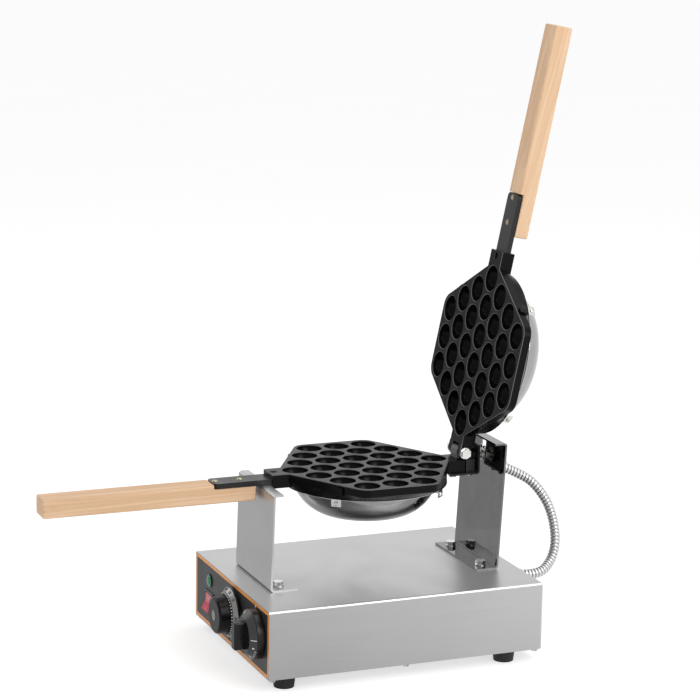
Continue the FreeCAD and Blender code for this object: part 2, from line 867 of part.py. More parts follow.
set_screw_inset = 6.0
cover_screw_radius = 85.5
cover_screw_angle = 42.0
cover_screw_angles = [half_turn + way * cover_screw_angle for half_turn in (0, 180) for way in (1, -1)]
cover_screw_length = 5.6
nub_width = 7.2
nub_depth = 2.4
nub_height = 8.6
nub_below_face = 3.0
nub_setback_share = 1.8


def pan_polar(radius, angle, z):
    turn = math.radians(angle)
    return point(radius * math.cos(turn), pan_y + radius * math.sin(turn), z)


def pan_casting():
    face_edges = pan_outline(face_z)
    wall_z = face_z - pan_wall_height
    prism = Part.Face(Part.Wire(face_edges)).extrude(Z * -pan_wall_height)
    top = [e for e in prism.Edges if abs(e.BoundBox.ZMin - face_z) < pan_edge_round / 2]
    prism = prism.makeFillet(pan_edge_round, top)
    lower_edges = pan_outline(wall_z)
    skirt = Part.makeLoft([Part.Wire(lower_edges),
                           Part.Wire(circle_like(lower_edges, pan_back_radius, pan_back_z))], True, True)
    lug = block(both_sides(lug_width / 2), (lug_front_y, pan_y - pan_back_radius + cut_over),
                (face_z - lug_height, face_z))
    casting = join([prism, skirt, lug])
    socket = block(both_sides(bar_width / 2 + slip_gap),
                   (lug_front_y - cut_over, lug_front_y + bar_insert + slip_gap),
                   (bar_bottom - slip_gap, bar_top + slip_gap))
    set_y = lug_front_y + set_screw_inset
    set_hole = rod(m8 / 2 + thread_gap, point(0, set_y, bar_top), point(0, set_y, face_z + cut_over))
    screw_holes = [rod(m4 / 2 + thread_gap, pan_polar(cover_screw_radius, angle, pan_back_z - cut_over),
                       pan_polar(cover_screw_radius, angle, pan_back_z + cover_screw_length))
                   for angle in cover_screw_angles]
    clamp_hole = rod(m6 / 2 + thread_gap, point(0, pan_y, pan_back_z - cut_over),
                     point(0, pan_y, pan_back_z + clamp_screw_bite))
    return casting.cut(group([socket, set_hole, clamp_hole] + screw_holes))


# All the cavities of a pan that lies open upwards
def cavities():
    tool = cavity_tool()
    copies = []
    for x, y in cavity_places():
        copy = tool.copy()
        copy.translate(point(x, y, face_z))
        copies.append(copy)
    return group(copies)


# Cast nubs on the sides of the pan
def side_nubs():
    top = face_z - nub_below_face
    setback = nub_setback_share * cavity_pitch
    tip_y = (cavities_along_axis - 1) / 2 * cavity_pitch + pan_margin / math.cos(sextant)
    x = (tip_y - setback) / math.tan(sextant)
    nubs = []
    for side in both_sides(1):
        nub = block(both_sides(nub_width / 2), both_sides(nub_depth), (top - nub_height, top))
        nub.rotate(ORIGIN, Z, side * math.degrees(sextant))
        nub.translate(point(side * x, pan_y - setback, 0))
        nubs.append(nub)
    return nubs


# Lower pan: hinge lug on the swivel bracket's shelf and the middle knuckle
hinge_lug_behind = 0.5
hinge_lug_end = hinge_y + hinge_lug_behind
hinge_lug_drop = 1.5
shelf_drop = 15.7
shelf_top = parting_height - shelf_drop
hinge_lug_top = parting_height - hinge_lug_drop
hinge_hole = hinge_bolt_diameter / 2 + running_gap


def hinge_bore():
    reach = ear_half_span + cut_over
    return rod(hinge_hole, HINGE - X * reach, HINGE + X * reach)


def lower_pan():
    start_y = pan_y + pan_back_radius - cut_over
    lug = block(both_sides(ear_half_span), (start_y, hinge_lug_end), (shelf_top, hinge_lug_top))
    knuckle = rod(knuckle_radius, HINGE - X * knuckle_half_width, HINGE + X * knuckle_half_width)
    web = block(both_sides(knuckle_half_width), (hinge_y - knuckle_radius, hinge_lug_end),
                (hinge_lug_top - cut_over, hinge_z))
    holes = [rod(m5 / 2 + thread_gap, point(x, lug_screw_y, shelf_top - cut_over),
                 point(x, lug_screw_y, shelf_top + shelf_screw_bite))
             for x in both_sides(shelf_screw_x)]
    solid = join([pan_casting(), lug, knuckle, web] + side_nubs())
    return solid.cut(cavities()).cut(group([hinge_bore()] + holes))


# Upper pan: built closed as the lower one's mirror image, then swung open about the hinge
ear_arm_height = 15.5
ear_root = 9.0
heel_length = 11.0
heel_drop = 7.4


def swung_open(shape):
    shape.rotate(HINGE, X, -open_angle)
    return shape


def raised(shape):
    return swung_open(shape.mirror(PARTING, Z))


def ear_spans():
    inner = knuckle_half_width + ear_gap
    return ((-ear_half_span, -inner), (inner, ear_half_span))


def upper_pan():
    closed = pan_casting().mirror(PARTING, Z)
    nubs = [nub.mirror(PARTING, Z) for nub in side_nubs()]
    base_z = parting_height + closing_gap / 2
    start_y = pan_y + pan_back_radius - cut_over
    bridge = block(both_sides(ear_half_span), (start_y, hinge_y - ear_root),
                   (base_z, base_z + ear_arm_height))
    pieces = [join([closed, bridge]).cut(cavities().mirror(PARTING, Z))] + nubs
    for x0, x1 in ear_spans():
        pieces.append(rod(knuckle_radius, point(x0, hinge_y, hinge_z), point(x1, hinge_y, hinge_z)))
        pieces.append(block((x0, x1), (hinge_y - ear_root, hinge_y),
                            (hinge_z - knuckle_radius + stop_gap, hinge_z + knuckle_radius)))
    opened = swung_open(join(pieces))
    heels = [block(span, (hinge_y, hinge_y + heel_length), (hinge_z - heel_drop, hinge_z))
             for span in ear_spans()]
    return join([opened] + heels).cut(hinge_bore())


# Hinge bolt with its washers and nut
hinge_washer_height = 1.0
hinge_bolt_spare = 2.0


def hinge_bolt():
    seat = HINGE + X * (ear_half_span + slip_gap + hinge_washer_height)
    length = 2 * (ear_half_span + slip_gap + hinge_washer_height) + m6_nut + hinge_bolt_spare
    return hexagon_bolt(hinge_bolt_diameter, m6_flats, m6_head, length, seat, -X)


def hinge_washers():
    return group(washer(hinge_bolt_diameter, m6_washer, hinge_washer_height,
                        HINGE + way * (ear_half_span + slip_gap), way) for way in (X, -X))


def hinge_nut():
    return nut(hinge_bolt_diameter, m6_flats, m6_nut,
               HINGE - X * (ear_half_span + slip_gap + hinge_washer_height), -X)


# Swivel bracket: shelf under the hinge lug and a plate that carries the shaft
swivel_width = 40.0
swivel_sheet = 2.0
swivel_reach = 18.2
plate_behind_hinge = 14.5
plate_rise = 15.3
lug_screw_setback = 12.0
shelf_screw_x = 9.5
shelf_screw_length = 11.0
shelf_screw_bite = 10.0
stop_inset = 2.0
swivel_front = hinge_y - swivel_reach
swivel_plate_y = hinge_y + plate_behind_hinge
swivel_plate_top = parting_height + plate_rise
lug_screw_y = hinge_y - lug_screw_setback
stop_front = hinge_y + stop_inset
stop_rear = swivel_plate_y - stop_inset
stop_screw_y = (stop_front + stop_rear) / 2


def swivel_bracket():
    places = [(swivel_plate_y, swivel_plate_top), (swivel_plate_y, shelf_top), (swivel_front, shelf_top)]
    sheet = bent_sheet(places, swivel_sheet, bracket_bend, both_sides(swivel_width / 2))
    holes = [rod(m5 / 2 + slip_gap, point(x, y, shelf_top - swivel_sheet - cut_over),
                 point(x, y, shelf_top + cut_over))
             for x in both_sides(shelf_screw_x) for y in (lug_screw_y, stop_screw_y)]
    holes.append(rod(shaft_outer + running_gap, point(0, swivel_plate_y - cut_over, parting_height),
                     point(0, swivel_plate_y + swivel_sheet + cut_over, parting_height)))
    return sheet.cut(group(holes))


def stop_block():
    top = hinge_z - heel_drop - stop_gap
    body = block(both_sides(ear_half_span), (stop_front, stop_rear), (shelf_top, top))
    holes = [rod(m5 / 2 + thread_gap, point(x, stop_screw_y, shelf_top - cut_over),
                 point(x, stop_screw_y, shelf_top + shelf_screw_bite))
             for x in both_sides(shelf_screw_x)]
    relief = rod(knuckle_radius + stop_gap, HINGE - X * ear_half_span, HINGE + X * ear_half_span)
    return body.cut(relief).cut(group(holes))


def shelf_screws():
    seat = shelf_top - swivel_sheet
    return group(round_screw(m5, m5_head_diameter, m5_head, shelf_screw_length, point(x, y, seat), Z)
                 for x in both_sides(shelf_screw_x) for y in (lug_screw_y, stop_screw_y))


# Hollow swivel shaft, its nuts and washers
shaft_head_radius = 7.2
shaft_head = 1.4
shaft_behind_hinge = 40.5
shaft_end_y = hinge_y + shaft_behind_hinge
shaft_collar_radius = 7.0
shaft_collar = 1.6
shaft_flats = 15.0
shaft_nut_height = 3.0
shaft_play = 0.6
shaft_washer_radius = 9.0
shaft_washer_height = 1.0
wall_back = rear_wall_back(parting_height)
PLATE_AXIS = point(0, swivel_plate_y, parting_height)


def swivel_shaft():
    head = rod(shaft_head_radius, PLATE_AXIS - Y * shaft_head, PLATE_AXIS)
    shank = rod(shaft_outer, PLATE_AXIS, point(0, shaft_end_y, parting_height))
    collar_end = point(0, rear_wall_y - shaft_play, parting_height)
    collar = rod(shaft_collar_radius, collar_end - Y * shaft_collar, collar_end)
    bore = rod(shaft_bore, PLATE_AXIS - Y * (shaft_head + cut_over),
               point(0, shaft_end_y + cut_over, parting_height))
    return join([head, shank, collar]).cut(bore)


def shaft_nuts():
    seats = (swivel_plate_y + swivel_sheet, wall_back + shaft_play + shaft_washer_height)
    return group(nut(2 * shaft_outer, shaft_flats, shaft_nut_height, point(0, y, parting_height), Y)
                 for y in seats)


def shaft_washer():
    seat = point(0, wall_back + shaft_play, parting_height)
    return washer(2 * shaft_outer, 2 * shaft_washer_radius, shaft_washer_height, seat, Y)


# Dish covers behind the pans, with ears for their screws
dish_sheet = 0.8
dish_gap = 0.3
dish_rim_radius = 80.0
dish_flat_radius = 35.0
dish_depth = 54.0
dish_ear_width = 11.0
dish_ear_reach = 91.5
dish_ear_sheet = 1.0
dish_tab_height = 8.0


def dish_profile(inset):
    rim_z = pan_back_z - dish_gap
    floor_z = face_z - dish_depth + inset
    rim_r = dish_rim_radius - inset
    run = rim_r - dish_flat_radius
    fall = rim_z - floor_z
    radius = (run ** 2 + fall ** 2) / (2 * fall)
    centre_z = floor_z + radius
    half = math.asin(run / radius) / 2 if rim_z < centre_z else (math.pi - math.asin(run / radius)) / 2
    middle = point(dish_flat_radius + radius * math.sin(half), pan_y,
                   centre_z - radius * math.cos(half))
    axis_floor = point(0, pan_y, floor_z)
    flat_end = point(dish_flat_radius, pan_y, floor_z)
    rim = point(rim_r, pan_y, rim_z)
    axis_top = point(0, pan_y, rim_z)
    edges = [Part.LineSegment(axis_floor, flat_end).toShape(), Part.Arc(flat_end, middle, rim).toShape(),
             Part.LineSegment(rim, axis_top).toShape(), Part.LineSegment(axis_top, axis_floor).toShape()]
    return Part.Face(Part.Wire(edges)).revolve(point(0, pan_y, 0), Z, 360)


def dish_cover():
    rim_z = pan_back_z - dish_gap
    shell = dish_profile(0).cut(dish_profile(dish_sheet))
    ears = []
    for angle in cover_screw_angles:
        ear = block((dish_rim_radius - cut_over, dish_ear_reach), both_sides(dish_ear_width / 2),
                    (rim_z - dish_ear_sheet, rim_z))
        tab = block((dish_ear_reach - dish_ear_sheet, dish_ear_reach), both_sides(dish_ear_width / 2),
                    (rim_z - dish_tab_height, rim_z))
        ear = join([ear, tab]).cut(rod(m4 / 2 + slip_gap, point(cover_screw_radius, 0, rim_z - cut_over),
                          point(cover_screw_radius, 0, rim_z + cut_over)))
        ear.rotate(ORIGIN, Z, angle)
        ear.translate(point(0, pan_y, 0))
        ears.append(ear)
    inside = dish_profile(dish_sheet)
    return join([shell] + [ear.cut(inside) for ear in ears])


def cover_screws():
    seat = pan_back_z - dish_gap - dish_ear_sheet
    return group(round_screw(m4, m4_head_diameter, m4_head, cover_screw_length,
                             pan_polar(cover_screw_radius, angle, seat), Z)
                 for angle in cover_screw_angles)


# Tubular heater ring, its clamp plate and the clamp screw
heater_radius = 56.0
heater_tube = 4.0
heater_opening = 20.0
heater_terminal = 12.0
clamp_length = 128.0
clamp_width = 18.0
clamp_sheet = 2.5
clamp_screw_bite = 2.0
heater_z = pan_back_z - rest_gap - heater_tube
clamp_top = heater_z - heater_tube - rest_gap
clamp_bottom = clamp_top - clamp_sheet


def heater_ring():
    start = pan_polar(heater_radius, 90 + heater_opening, heater_z)
    turn = math.radians(heater_opening)
    way = point(-math.cos(turn), -math.sin(turn), 0)
    section = Part.Face(Part.Wire(Part.makeCircle(heater_tube, start, way)))
    ring = section.revolve(point(0, pan_y, heater_z), Z, 360 - 2 * heater_opening)
    ends = []
    for angle, sign in ((90 + heater_opening, -1), (90 - heater_opening, 1)):
        place = pan_polar(heater_radius, angle, heater_z)
        turn = math.radians(angle)
        out = point(-math.sin(turn), math.cos(turn), 0) * sign
        ends.append(rod(heater_tube / 2, place, place + out * heater_terminal))
    return join([ring] + ends)


def heater_clamp():
    plate = block(both_sides(clamp_length / 2), (pan_y - clamp_width / 2, pan_y + clamp_width / 2),
                  (clamp_bottom, clamp_top))
    hole = rod(m6 / 2 + slip_gap, point(0, pan_y, clamp_bottom - cut_over),
               point(0, pan_y, clamp_top + cut_over))
    return plate.cut(hole)


def clamp_screw():
    length = pan_back_z + clamp_screw_bite - slip_gap - clamp_bottom
    return hexagon_bolt(m6, m6_flats, m6_head, length, point(0, pan_y, clamp_bottom), Z)


# Handle bar, wooden handle, rivets and set screw
rivet_radius = 2.5
rivet_head_radius = 3.2
rivet_head = 0.9
rivet_inset = 5.0
rivet_pitch = 28.0
handle_notch_gap = 0.5
set_screw_recess = 2.0
set_screw_socket = 2.0
set_screw_socket_depth = 1.8
bar_end_y = lug_front_y + bar_insert - bar_length
handle_near_y = bar_end_y + handle_overlap
handle_far_y = handle_near_y - handle_length


def rivet_places():
    return (bar_end_y + rivet_inset, bar_end_y + rivet_inset + rivet_pitch)


def rivet_holes():
    return group(rod(rivet_radius + running_gap, point(0, y, handle_top - handle_height - cut_over),
                     point(0, y, bar_top + cut_over)) for y in rivet_places())


def handle_bar():
    bar = block(both_sides(bar_width / 2), (bar_end_y, lug_front_y + bar_insert), (bar_bottom, bar_top))
    far = [e for e in bar.Edges if e.BoundBox.ZLength > bar_thickness / 2
           and abs(e.CenterOfMass.y - bar_end_y) < running_gap]
    return bar.makeFillet(bar_corner, far).cut(rivet_holes())


def handle():
    low = handle_top - handle_height
    wood = block(both_sides(handle_width / 2), (handle_far_y, handle_near_y), (low, handle_top))
    wood = wood.makeFillet(handle_round, wood.Edges)
    notch = block(both_sides(handle_width), (bar_end_y - handle_notch_gap, handle_near_y + cut_over),
                  (bar_bottom, handle_top + cut_over))
    return wood.cut(notch).cut(rivet_holes())


def rivets():
    low = handle_top - handle_height
    made = []
    for y in rivet_places():
        shank = rod(rivet_radius, point(0, y, low), point(0, y, bar_top))
        heads = [cone(rivet_head_radius, rivet_head_radius - rivet_head, point(0, y, z),
                      point(0, y, z + way * rivet_head)) for z, way in ((bar_top, 1), (low, -1))]
        made.append(join([shank] + heads))
    return group(made)


def set_screw():
    y = lug_front_y + set_screw_inset
    body = rod(m8 / 2, point(0, y, bar_top + running_gap), point(0, y, face_z - set_screw_recess))
    socket = hexagon_rod(2 * set_screw_socket,
                         point(0, y, face_z - set_screw_recess - set_screw_socket_depth),
                         point(0, y, face_z))
    return body.cut(socket)


# Conduit from the shaft's rear end down to the gland in the rear wall
conduit_radius = 5.75
conduit_valley = 4.8
conduit_bore = 4.0
rib_pitch = 3.4
rib_land_share = 0.3
rib_half_share = 0.5
shaft_in_fitting = 2.0
fitting_front = shaft_end_y - shaft_in_fitting
fitting_depth = 11.0
fitting_half_width = 9.8
fitting_rise = 9.6
fitting_fall = 21.2
fitting_round = 4.0
fitting_room_depth = 7.0
spout_radius = 8.0
spout_drop = 12.7
spout_back = 6.5
spout_side = 1.5
spout_length = 10.0
spout_fall = 24.0
spout_turn = 6.3
conduit_lead = 20.0
conduit_tail = 24.0
shaft_room = 1.8
gland_end = 5.0
gland_flats = 14.6
gland_hexagon = 3.0
gland_collar = 6.8
gland_inside = 9.0

SPOUT_WAY = point(math.cos(math.radians(spout_fall)) * math.sin(math.radians(spout_turn)),
                  math.cos(math.radians(spout_fall)) * math.cos(math.radians(spout_turn)),
                  -math.sin(math.radians(spout_fall)))
ELBOW = point(spout_side, fitting_front + spout_back, parting_height - spout_drop)
CONDUIT_START = ELBOW + SPOUT_WAY * spout_length
CONDUIT_END = point(conduit_x, box_rear + gland_end, conduit_z)
conduit_route = [
    CONDUIT_START,
    CONDUIT_START + SPOUT_WAY * conduit_lead,
    point(10.0, 197.0, 171.0),
    point(22.0, 213.0, 144.0),
    point(34.0, 218.0, 109.0),
    point(44.0, 206.5, 84.0),
    CONDUIT_END + Y * conduit_tail,
    CONDUIT_END,
]


def conduit_wire(route):
    radii = [0.0] * len(route)
    for i in range(1, len(route) - 1):
        back, ahead = route[i - 1] - route[i], route[i + 1] - route[i]
        turn = math.pi - back.getAngle(ahead)
        radii[i] = 0.45 * min(back.Length, ahead.Length) / math.tan(turn / 2)
    print("conduit bend radii", [round(r, 1) for r in radii[1:-1]])
    return Part.Wire(rounded_path(route, radii))


def section_at(edge, parameter, radius):
    place, way = edge.valueAt(parameter), edge.tangentAt(parameter)
    turn = FreeCAD.Rotation(X.cross(way), ORIGIN, way, "ZXY")
    circle = Part.Circle(ORIGIN, Z, radius).toShape()
    circle.Placement = FreeCAD.Placement(place, turn)
    return Part.Wire(circle)


# Circles of the given radii, spread along the wire by length
def sections_along(wire, stations):
    edges = wire.OrderedEdges
    starts, total = [], 0
    for edge in edges:
        starts.append(total)
        total += edge.Length
    sections = []
    for station, radius in stations:
        place = min(max(station * total, 0), total)
        index = max(k for k in range(len(edges)) if starts[k] <= place)
        edge = edges[index]
        parameter = edge.getParameterByLength(min(place - starts[index], edge.Length))
        sections.append(section_at(edge, parameter, radius))
    return sections


# Faces between neighbouring sections, made pair by pair so that the bends keep their sense
def ruled_faces(sections):
    faces = []
    for first, last in zip(sections, sections[1:]):
        faces += Part.makeLoft([first, last], False, True).Faces
    return faces


def conduit():
    wire = conduit_wire(conduit_route)
    end_share = 2 * conduit_radius / wire.Length
    ribs = int((1 - 2 * end_share) * wire.Length / rib_pitch)
    pitch = (1 - 2 * end_share) / ribs
    stations = [(0, conduit_valley)]
    for k in range(ribs):
        start = end_share + k * pitch
        for share, radius in ((-rib_land_share, conduit_valley), (-rib_land_share / 2, conduit_radius),
                              (rib_land_share / 2, conduit_radius), (rib_land_share, conduit_valley)):
            stations.append((start + (rib_half_share + share) * pitch, radius))
    stations.append((1, conduit_valley))
    outer = sections_along(wire, stations)
    bore = sections_along(wire, [(k / (2 * ribs), conduit_bore) for k in range(2 * ribs + 1)])
    faces = ruled_faces(outer) + ruled_faces(bore)
    for end in (0, -1):
        faces.append(Part.makeFace([outer[end], bore[end]], "Part::FaceMakerBullseye"))
    shell = Part.Shell(faces)
    shell.sewShape()
    solid = Part.Solid(shell)
    if solid.Volume < 0:
        solid.reverse()
    mean_radius = (conduit_valley + conduit_radius) / 2
    plain = math.pi * (mean_radius ** 2 - conduit_bore ** 2) * wire.Length
    print("conduit length", round(wire.Length, 1), "ribs", ribs, "volume", round(solid.Volume),
          "plain tube", round(plain))
    return solid


def conduit_fitting():
    front = point(0, fitting_front, parting_height)
    body = block(both_sides(fitting_half_width), (fitting_front, fitting_front + fitting_depth),
                 (parting_height - fitting_fall, parting_height + fitting_rise))
    long_edges = [e for e in body.Edges if e.BoundBox.YLength > fitting_depth / 2]
    body = body.makeFillet(fitting_round, long_edges).fuse(rod(spout_radius, ELBOW, CONDUIT_START))
    room = rod(shaft_outer + shaft_room, front - Y * cut_over, front + Y * fitting_room_depth)
    drop = rod(conduit_bore, point(ELBOW.x, ELBOW.y, parting_height), ELBOW)
    bore = rod(conduit_bore, ELBOW - SPOUT_WAY * shaft_room, CONDUIT_START + SPOUT_WAY * cut_over)
    return body.cut(room).cut(drop).cut(bore)


def conduit_gland():
    at = point(conduit_x, box_rear, conduit_z)
    hexagon = hexagon_rod(gland_flats, at, at + Y * gland_hexagon)
    collar = rod(gland_collar, at + Y * gland_hexagon, CONDUIT_END)
    stub = rod(conduit_stub, at - Y * gland_inside, at)
    bore = rod(conduit_bore, at - Y * (gland_inside + cut_over), CONDUIT_END + Y * cut_over)
    return join([hexagon, collar, stub]).cut(bore)


# Every piece under its own name
def build():
    keep("box_cover", box_cover())
    keep("bottom_plate", bottom_plate())
    keep("bottom_screws", bottom_screws())
    keep("feet", feet())
    keep("foot_screws", foot_screws())
    keep("foot_nuts", foot_nuts())
    keep("front_plate", front_plate())
    keep("panel_field", panel_field())
    keep("panel_trim", panel_trim())
    keep("lamp_body", lamp_body())
    keep("lamp_lens", lamp_lens())
    keep("switch_frame", switch_frame())
    keep("rocker", rocker())
    keep("temperature_dial", temperature_dial())
    keep("temperature_cap", temperature_cap())
    keep("timer_dial", timer_dial())
    keep("timer_grip", timer_grip())
    keep("thermostat", control_case(thermostat_x, thermostat_size, thermostat_depth))
    keep("thermostat_shaft", control_shaft(thermostat_x, thermostat_depth, dial_front_y - cap_bore_depth))
    keep("timer", control_case(timer_x, timer_size, timer_depth))
    keep("timer_shaft", control_shaft(timer_x, timer_depth, timer_front_y - grip_bore_depth))
    keep("terminal_block", terminal_block())
    keep("mains_gland", mains_gland())
    keep("conduit_gland", conduit_gland())
    keep("gland_lock_nuts", group([lock_nut(mains_stub, mains_x, mains_z),
                                   lock_nut(conduit_stub, conduit_x, conduit_z)]))
    keep("conduit", conduit())
    keep("conduit_fitting", conduit_fitting())
    keep("front_bracket", front_bracket())
    keep("rear_bracket", rear_bracket())
    keep("bracket_bolts", bracket_bolts())
    keep("bracket_nuts", group([bracket_nuts(), bracket_washers()]))
    keep("swivel_bracket", swivel_bracket())
    keep("stop_block", stop_block())
    keep("shelf_screws", shelf_screws())
    keep("swivel_shaft", swivel_shaft())
    keep("shaft_nuts", group([shaft_nuts(), shaft_washer()]))
    keep("hinge_bolt", hinge_bolt())
    keep("hinge_washers", hinge_washers())
    keep("hinge_nut", hinge_nut())
    keep("lower_pan", lower_pan())
    keep("upper_pan", upper_pan())
    for name, maker in (("dish", dish_cover), ("dish_screws", cover_screws), ("heater", heater_ring),
                        ("heater_clamp", heater_clamp), ("clamp_screw", clamp_screw),
                        ("handle_bar", handle_bar), ("handle", handle), ("rivets", rivets),
                        ("set_screw", set_screw)):
        keep("lower_" + name, maker())
        keep("upper_" + name, raised(maker()))


build()
os.makedirs("parts", exist_ok=True)
for name, shape in parts.items():
    shape.exportStep("parts/" + name + ".step")
print(len(parts), "pieces written")
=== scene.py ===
import json
import math

import bmesh
import bpy
from mathutils import Matrix, Vector


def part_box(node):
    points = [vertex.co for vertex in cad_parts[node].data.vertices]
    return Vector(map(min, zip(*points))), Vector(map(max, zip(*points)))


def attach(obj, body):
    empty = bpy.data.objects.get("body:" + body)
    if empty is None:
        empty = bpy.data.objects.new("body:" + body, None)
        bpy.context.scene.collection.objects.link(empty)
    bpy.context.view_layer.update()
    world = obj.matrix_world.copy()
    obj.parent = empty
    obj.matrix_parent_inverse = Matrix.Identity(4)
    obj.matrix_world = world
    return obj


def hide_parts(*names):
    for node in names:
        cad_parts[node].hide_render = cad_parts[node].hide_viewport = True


bl_info = {
    "name": "Egg waffle pan finish",
    "version": (1, 0, 0),
    "blender": (4, 5, 0),
    "location": "3D View > Sidebar > Egg Waffle Pan",
    "description": "Finishes, dial marks, conduit and studio for a packed egg waffle pan",
    "category": "Object",
}

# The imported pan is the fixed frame: metres, bench at zero height, the cook in front along -Y
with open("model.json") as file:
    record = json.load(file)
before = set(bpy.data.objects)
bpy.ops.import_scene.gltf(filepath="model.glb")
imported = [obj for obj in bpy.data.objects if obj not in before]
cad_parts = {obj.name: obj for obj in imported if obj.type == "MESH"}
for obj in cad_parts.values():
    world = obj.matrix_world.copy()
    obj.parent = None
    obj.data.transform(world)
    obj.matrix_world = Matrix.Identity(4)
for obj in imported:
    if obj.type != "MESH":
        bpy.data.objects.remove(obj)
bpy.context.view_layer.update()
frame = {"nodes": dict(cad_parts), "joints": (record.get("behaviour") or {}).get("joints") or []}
MM = 0.001
RIGHT = Vector((1.0, 0.0, 0.0))
FRONT = Vector((0.0, -1.0, 0.0))
UP = Vector((0.0, 0.0, 1.0))
# Darker tone of wiped metal, the steel colour of the painted highlight on a fold, and how far numerals are
# thickened
WIPED_SHADE = 0.86
FOLD_HIGHLIGHT_STEEL = (0.95, 0.95, 0.95, 1.0)
BOLD_SHARE = 0.028


# Sizes and colours that a user would change
def colour_property(name, default, description):
    return bpy.props.FloatVectorProperty(name=name, description=description, subtype="COLOR", size=4,
                                         min=0.0, max=1.0, default=default + (1.0,))


def length_property(name, default, description):
    return bpy.props.FloatProperty(name=name, description=description, subtype="DISTANCE", unit="LENGTH",
                                   default=default)


def angle_property(name, degrees, description):
    return bpy.props.FloatProperty(name=name, description=description, subtype="ANGLE", unit="ROTATION",
                                   default=math.radians(degrees))


def count_property(name, default, low, high, description):
    return bpy.props.IntProperty(name=name, description=description, default=default, min=low, max=high)


def level_property(name, default, description, **more):
    return bpy.props.FloatProperty(name=name, description=description, default=default, min=0.0, **more)


class PanFinishes(bpy.types.PropertyGroup):
    """Colours of the pans, the sheet metal and the handles."""
    satin_steel: colour_property("Satin steel", (0.60, 0.60, 0.605), "Brushed sheet of the control box")
    front_steel: colour_property("Front bracket steel", (0.61, 0.61, 0.615), "Brushed front bracket")
    bracket_steel: colour_property("Bracket steel", (0.21, 0.21, 0.214), "Mirror-bright rear bracket")
    dish_steel: colour_property("Dish steel", (0.42, 0.42, 0.425), "Polished dish covers")
    rim_steel: colour_property("Rim steel", (0.62, 0.62, 0.625), "Flat rims of the dish covers")
    plated_steel: colour_property("Plated steel", (0.80, 0.79, 0.76), "Zinc plate on bolts and screws")
    conduit_steel: colour_property("Conduit steel", (0.72, 0.72, 0.725), "Ribs of the conduit")
    # Painted shade: the darker colour in the grooves between the ribs
    conduit_groove_shade: colour_property("Conduit groove", (0.34, 0.34, 0.34), "Grooves between the ribs")
    coating: colour_property("Non-stick coating", (0.0035, 0.0035, 0.0037), "Coating of the cast pans")
    # Painted highlight: the paler coating colour on the cups' lips and the edge of the pan's face
    lip_highlight_coating: colour_property("Rubbed coating", (0.15, 0.15, 0.152), "Coating on the cups' lips")
    black_steel: colour_property("Black steel", (0.010, 0.010, 0.0105), "Handle bars and hinge parts")
    wood_light: colour_property("Pale wood", (0.87, 0.62, 0.41), "Early wood of the handles")
    wood_dark: colour_property("Darker wood", (0.64, 0.38, 0.21), "Late wood of the handles")
    rivet: colour_property("Rivet metal", (0.50, 0.43, 0.28), "Rivet heads on the handle bars")


class ControlFinishes(bpy.types.PropertyGroup):
    """Colours and marks of the control panel."""
    field: colour_property("Panel field", (0.029, 0.030, 0.031), "Printed film on the control panel")
    border: colour_property("Panel border", (0.84, 0.33, 0.065), "Line round the control panel")
    plastic: colour_property("Black plastic", (0.006, 0.006, 0.0065), "Knobs, dials and switch frame")
    dial_silver: colour_property("Silver bevel", (0.34, 0.34, 0.34), "Bevel of the temperature dial")
    # Painted sheen: this grey stands in for light on the timer dial's black plastic bevel
    timer_bevel_sheen: colour_property("Grey bevel", (0.045, 0.045, 0.046), "Bevel of the timer dial")
    marks: colour_property("White marks", (0.80, 0.80, 0.78), "Strokes and numbers on dark ground")
    ink: colour_property("Black marks", (0.012, 0.012, 0.012), "Numbers on the silver bevel")
    lamp: colour_property("Lamp lens", (0.003, 0.18, 0.07), "Pilot lamp lens")
    rocker: colour_property("Rocker", (0.50, 0.010, 0.040), "Rocker of the mains switch")
    mark_height: length_property("Mark height", 0.0002, "How far the printed marks stand proud")
    heat_numbers: count_property("Heat numbers", 12, 2, 24, "Numbers round the temperature dial")
    timer_numbers: count_property("Timer numbers", 6, 2, 12, "Numbers round the timer dial")


class ConduitSizes(bpy.types.PropertyGroup):
    """Sizes of the ribbed conduit."""
    crest_radius: length_property("Crest radius", 0.00575, "Outer radius over the ribs")
    valley_radius: length_property("Valley radius", 0.0050, "Radius between the ribs")
    ribs: count_property("Ribs", 46, 10, 200, "Ribs along the conduit")
    sides: count_property("Sides", 40, 12, 96, "Faces round the conduit")


class StudioLook(bpy.types.PropertyGroup):
    """Camera and light of the studio."""
    azimuth: angle_property("Azimuth", 67.69, "Camera direction round the bench")
    elevation: angle_property("Elevation", 11.82, "Camera height angle")
    roll: angle_property("Roll", 0.97, "Camera roll")
    distance: length_property("Distance", 2.7154, "Camera distance from its target")
    target: bpy.props.FloatVectorProperty(
        name="Target", description="Point that the camera looks at", size=3, subtype="TRANSLATION",
        unit="LENGTH", default=(-0.0603, 0.0, 0.3234))
    lens: level_property("Lens", 125.07, "Focal length for a 36 mm sensor")
    backdrop: colour_property("Backdrop", (1.0, 1.0, 1.0), "Colour of floor and backdrop")
    room_light: level_property("Room light", 0.62, "Strength of the even light")
    ceiling: level_property("Ceiling", 0.85, "Reflected brightness of the room overhead", max=1.0)
    front_wall: level_property("Front wall", 0.45, "Reflected brightness of the room in front", max=1.0)
    key_power: level_property("Key light", 16.0, "Power of the key light", subtype="POWER", unit="POWER")
    fill_power: level_property("Fill light", 7.0, "Power of the other lights", subtype="POWER", unit="POWER")


# Node helpers: a socket is linked, any other value becomes the input's own
def set_inputs(tree, node, inputs):
    for key, value in inputs.items():
        if isinstance(value, bpy.types.NodeSocket):
            tree.links.new(value, node.inputs[key])
        else:
            node.inputs[key].default_value = value


def add_node(tree, kind, settings=None, inputs=None):
    made = tree.nodes.new(kind)
    for key, value in (settings or {}).items():
        setattr(made, key, value)
    set_inputs(tree, made, inputs or {})
    return made


def math_node(tree, operation, first, second=0.0):
    return add_node(tree, "ShaderNodeMath", {"operation": operation}, {0: first, 1: second}).outputs[0]


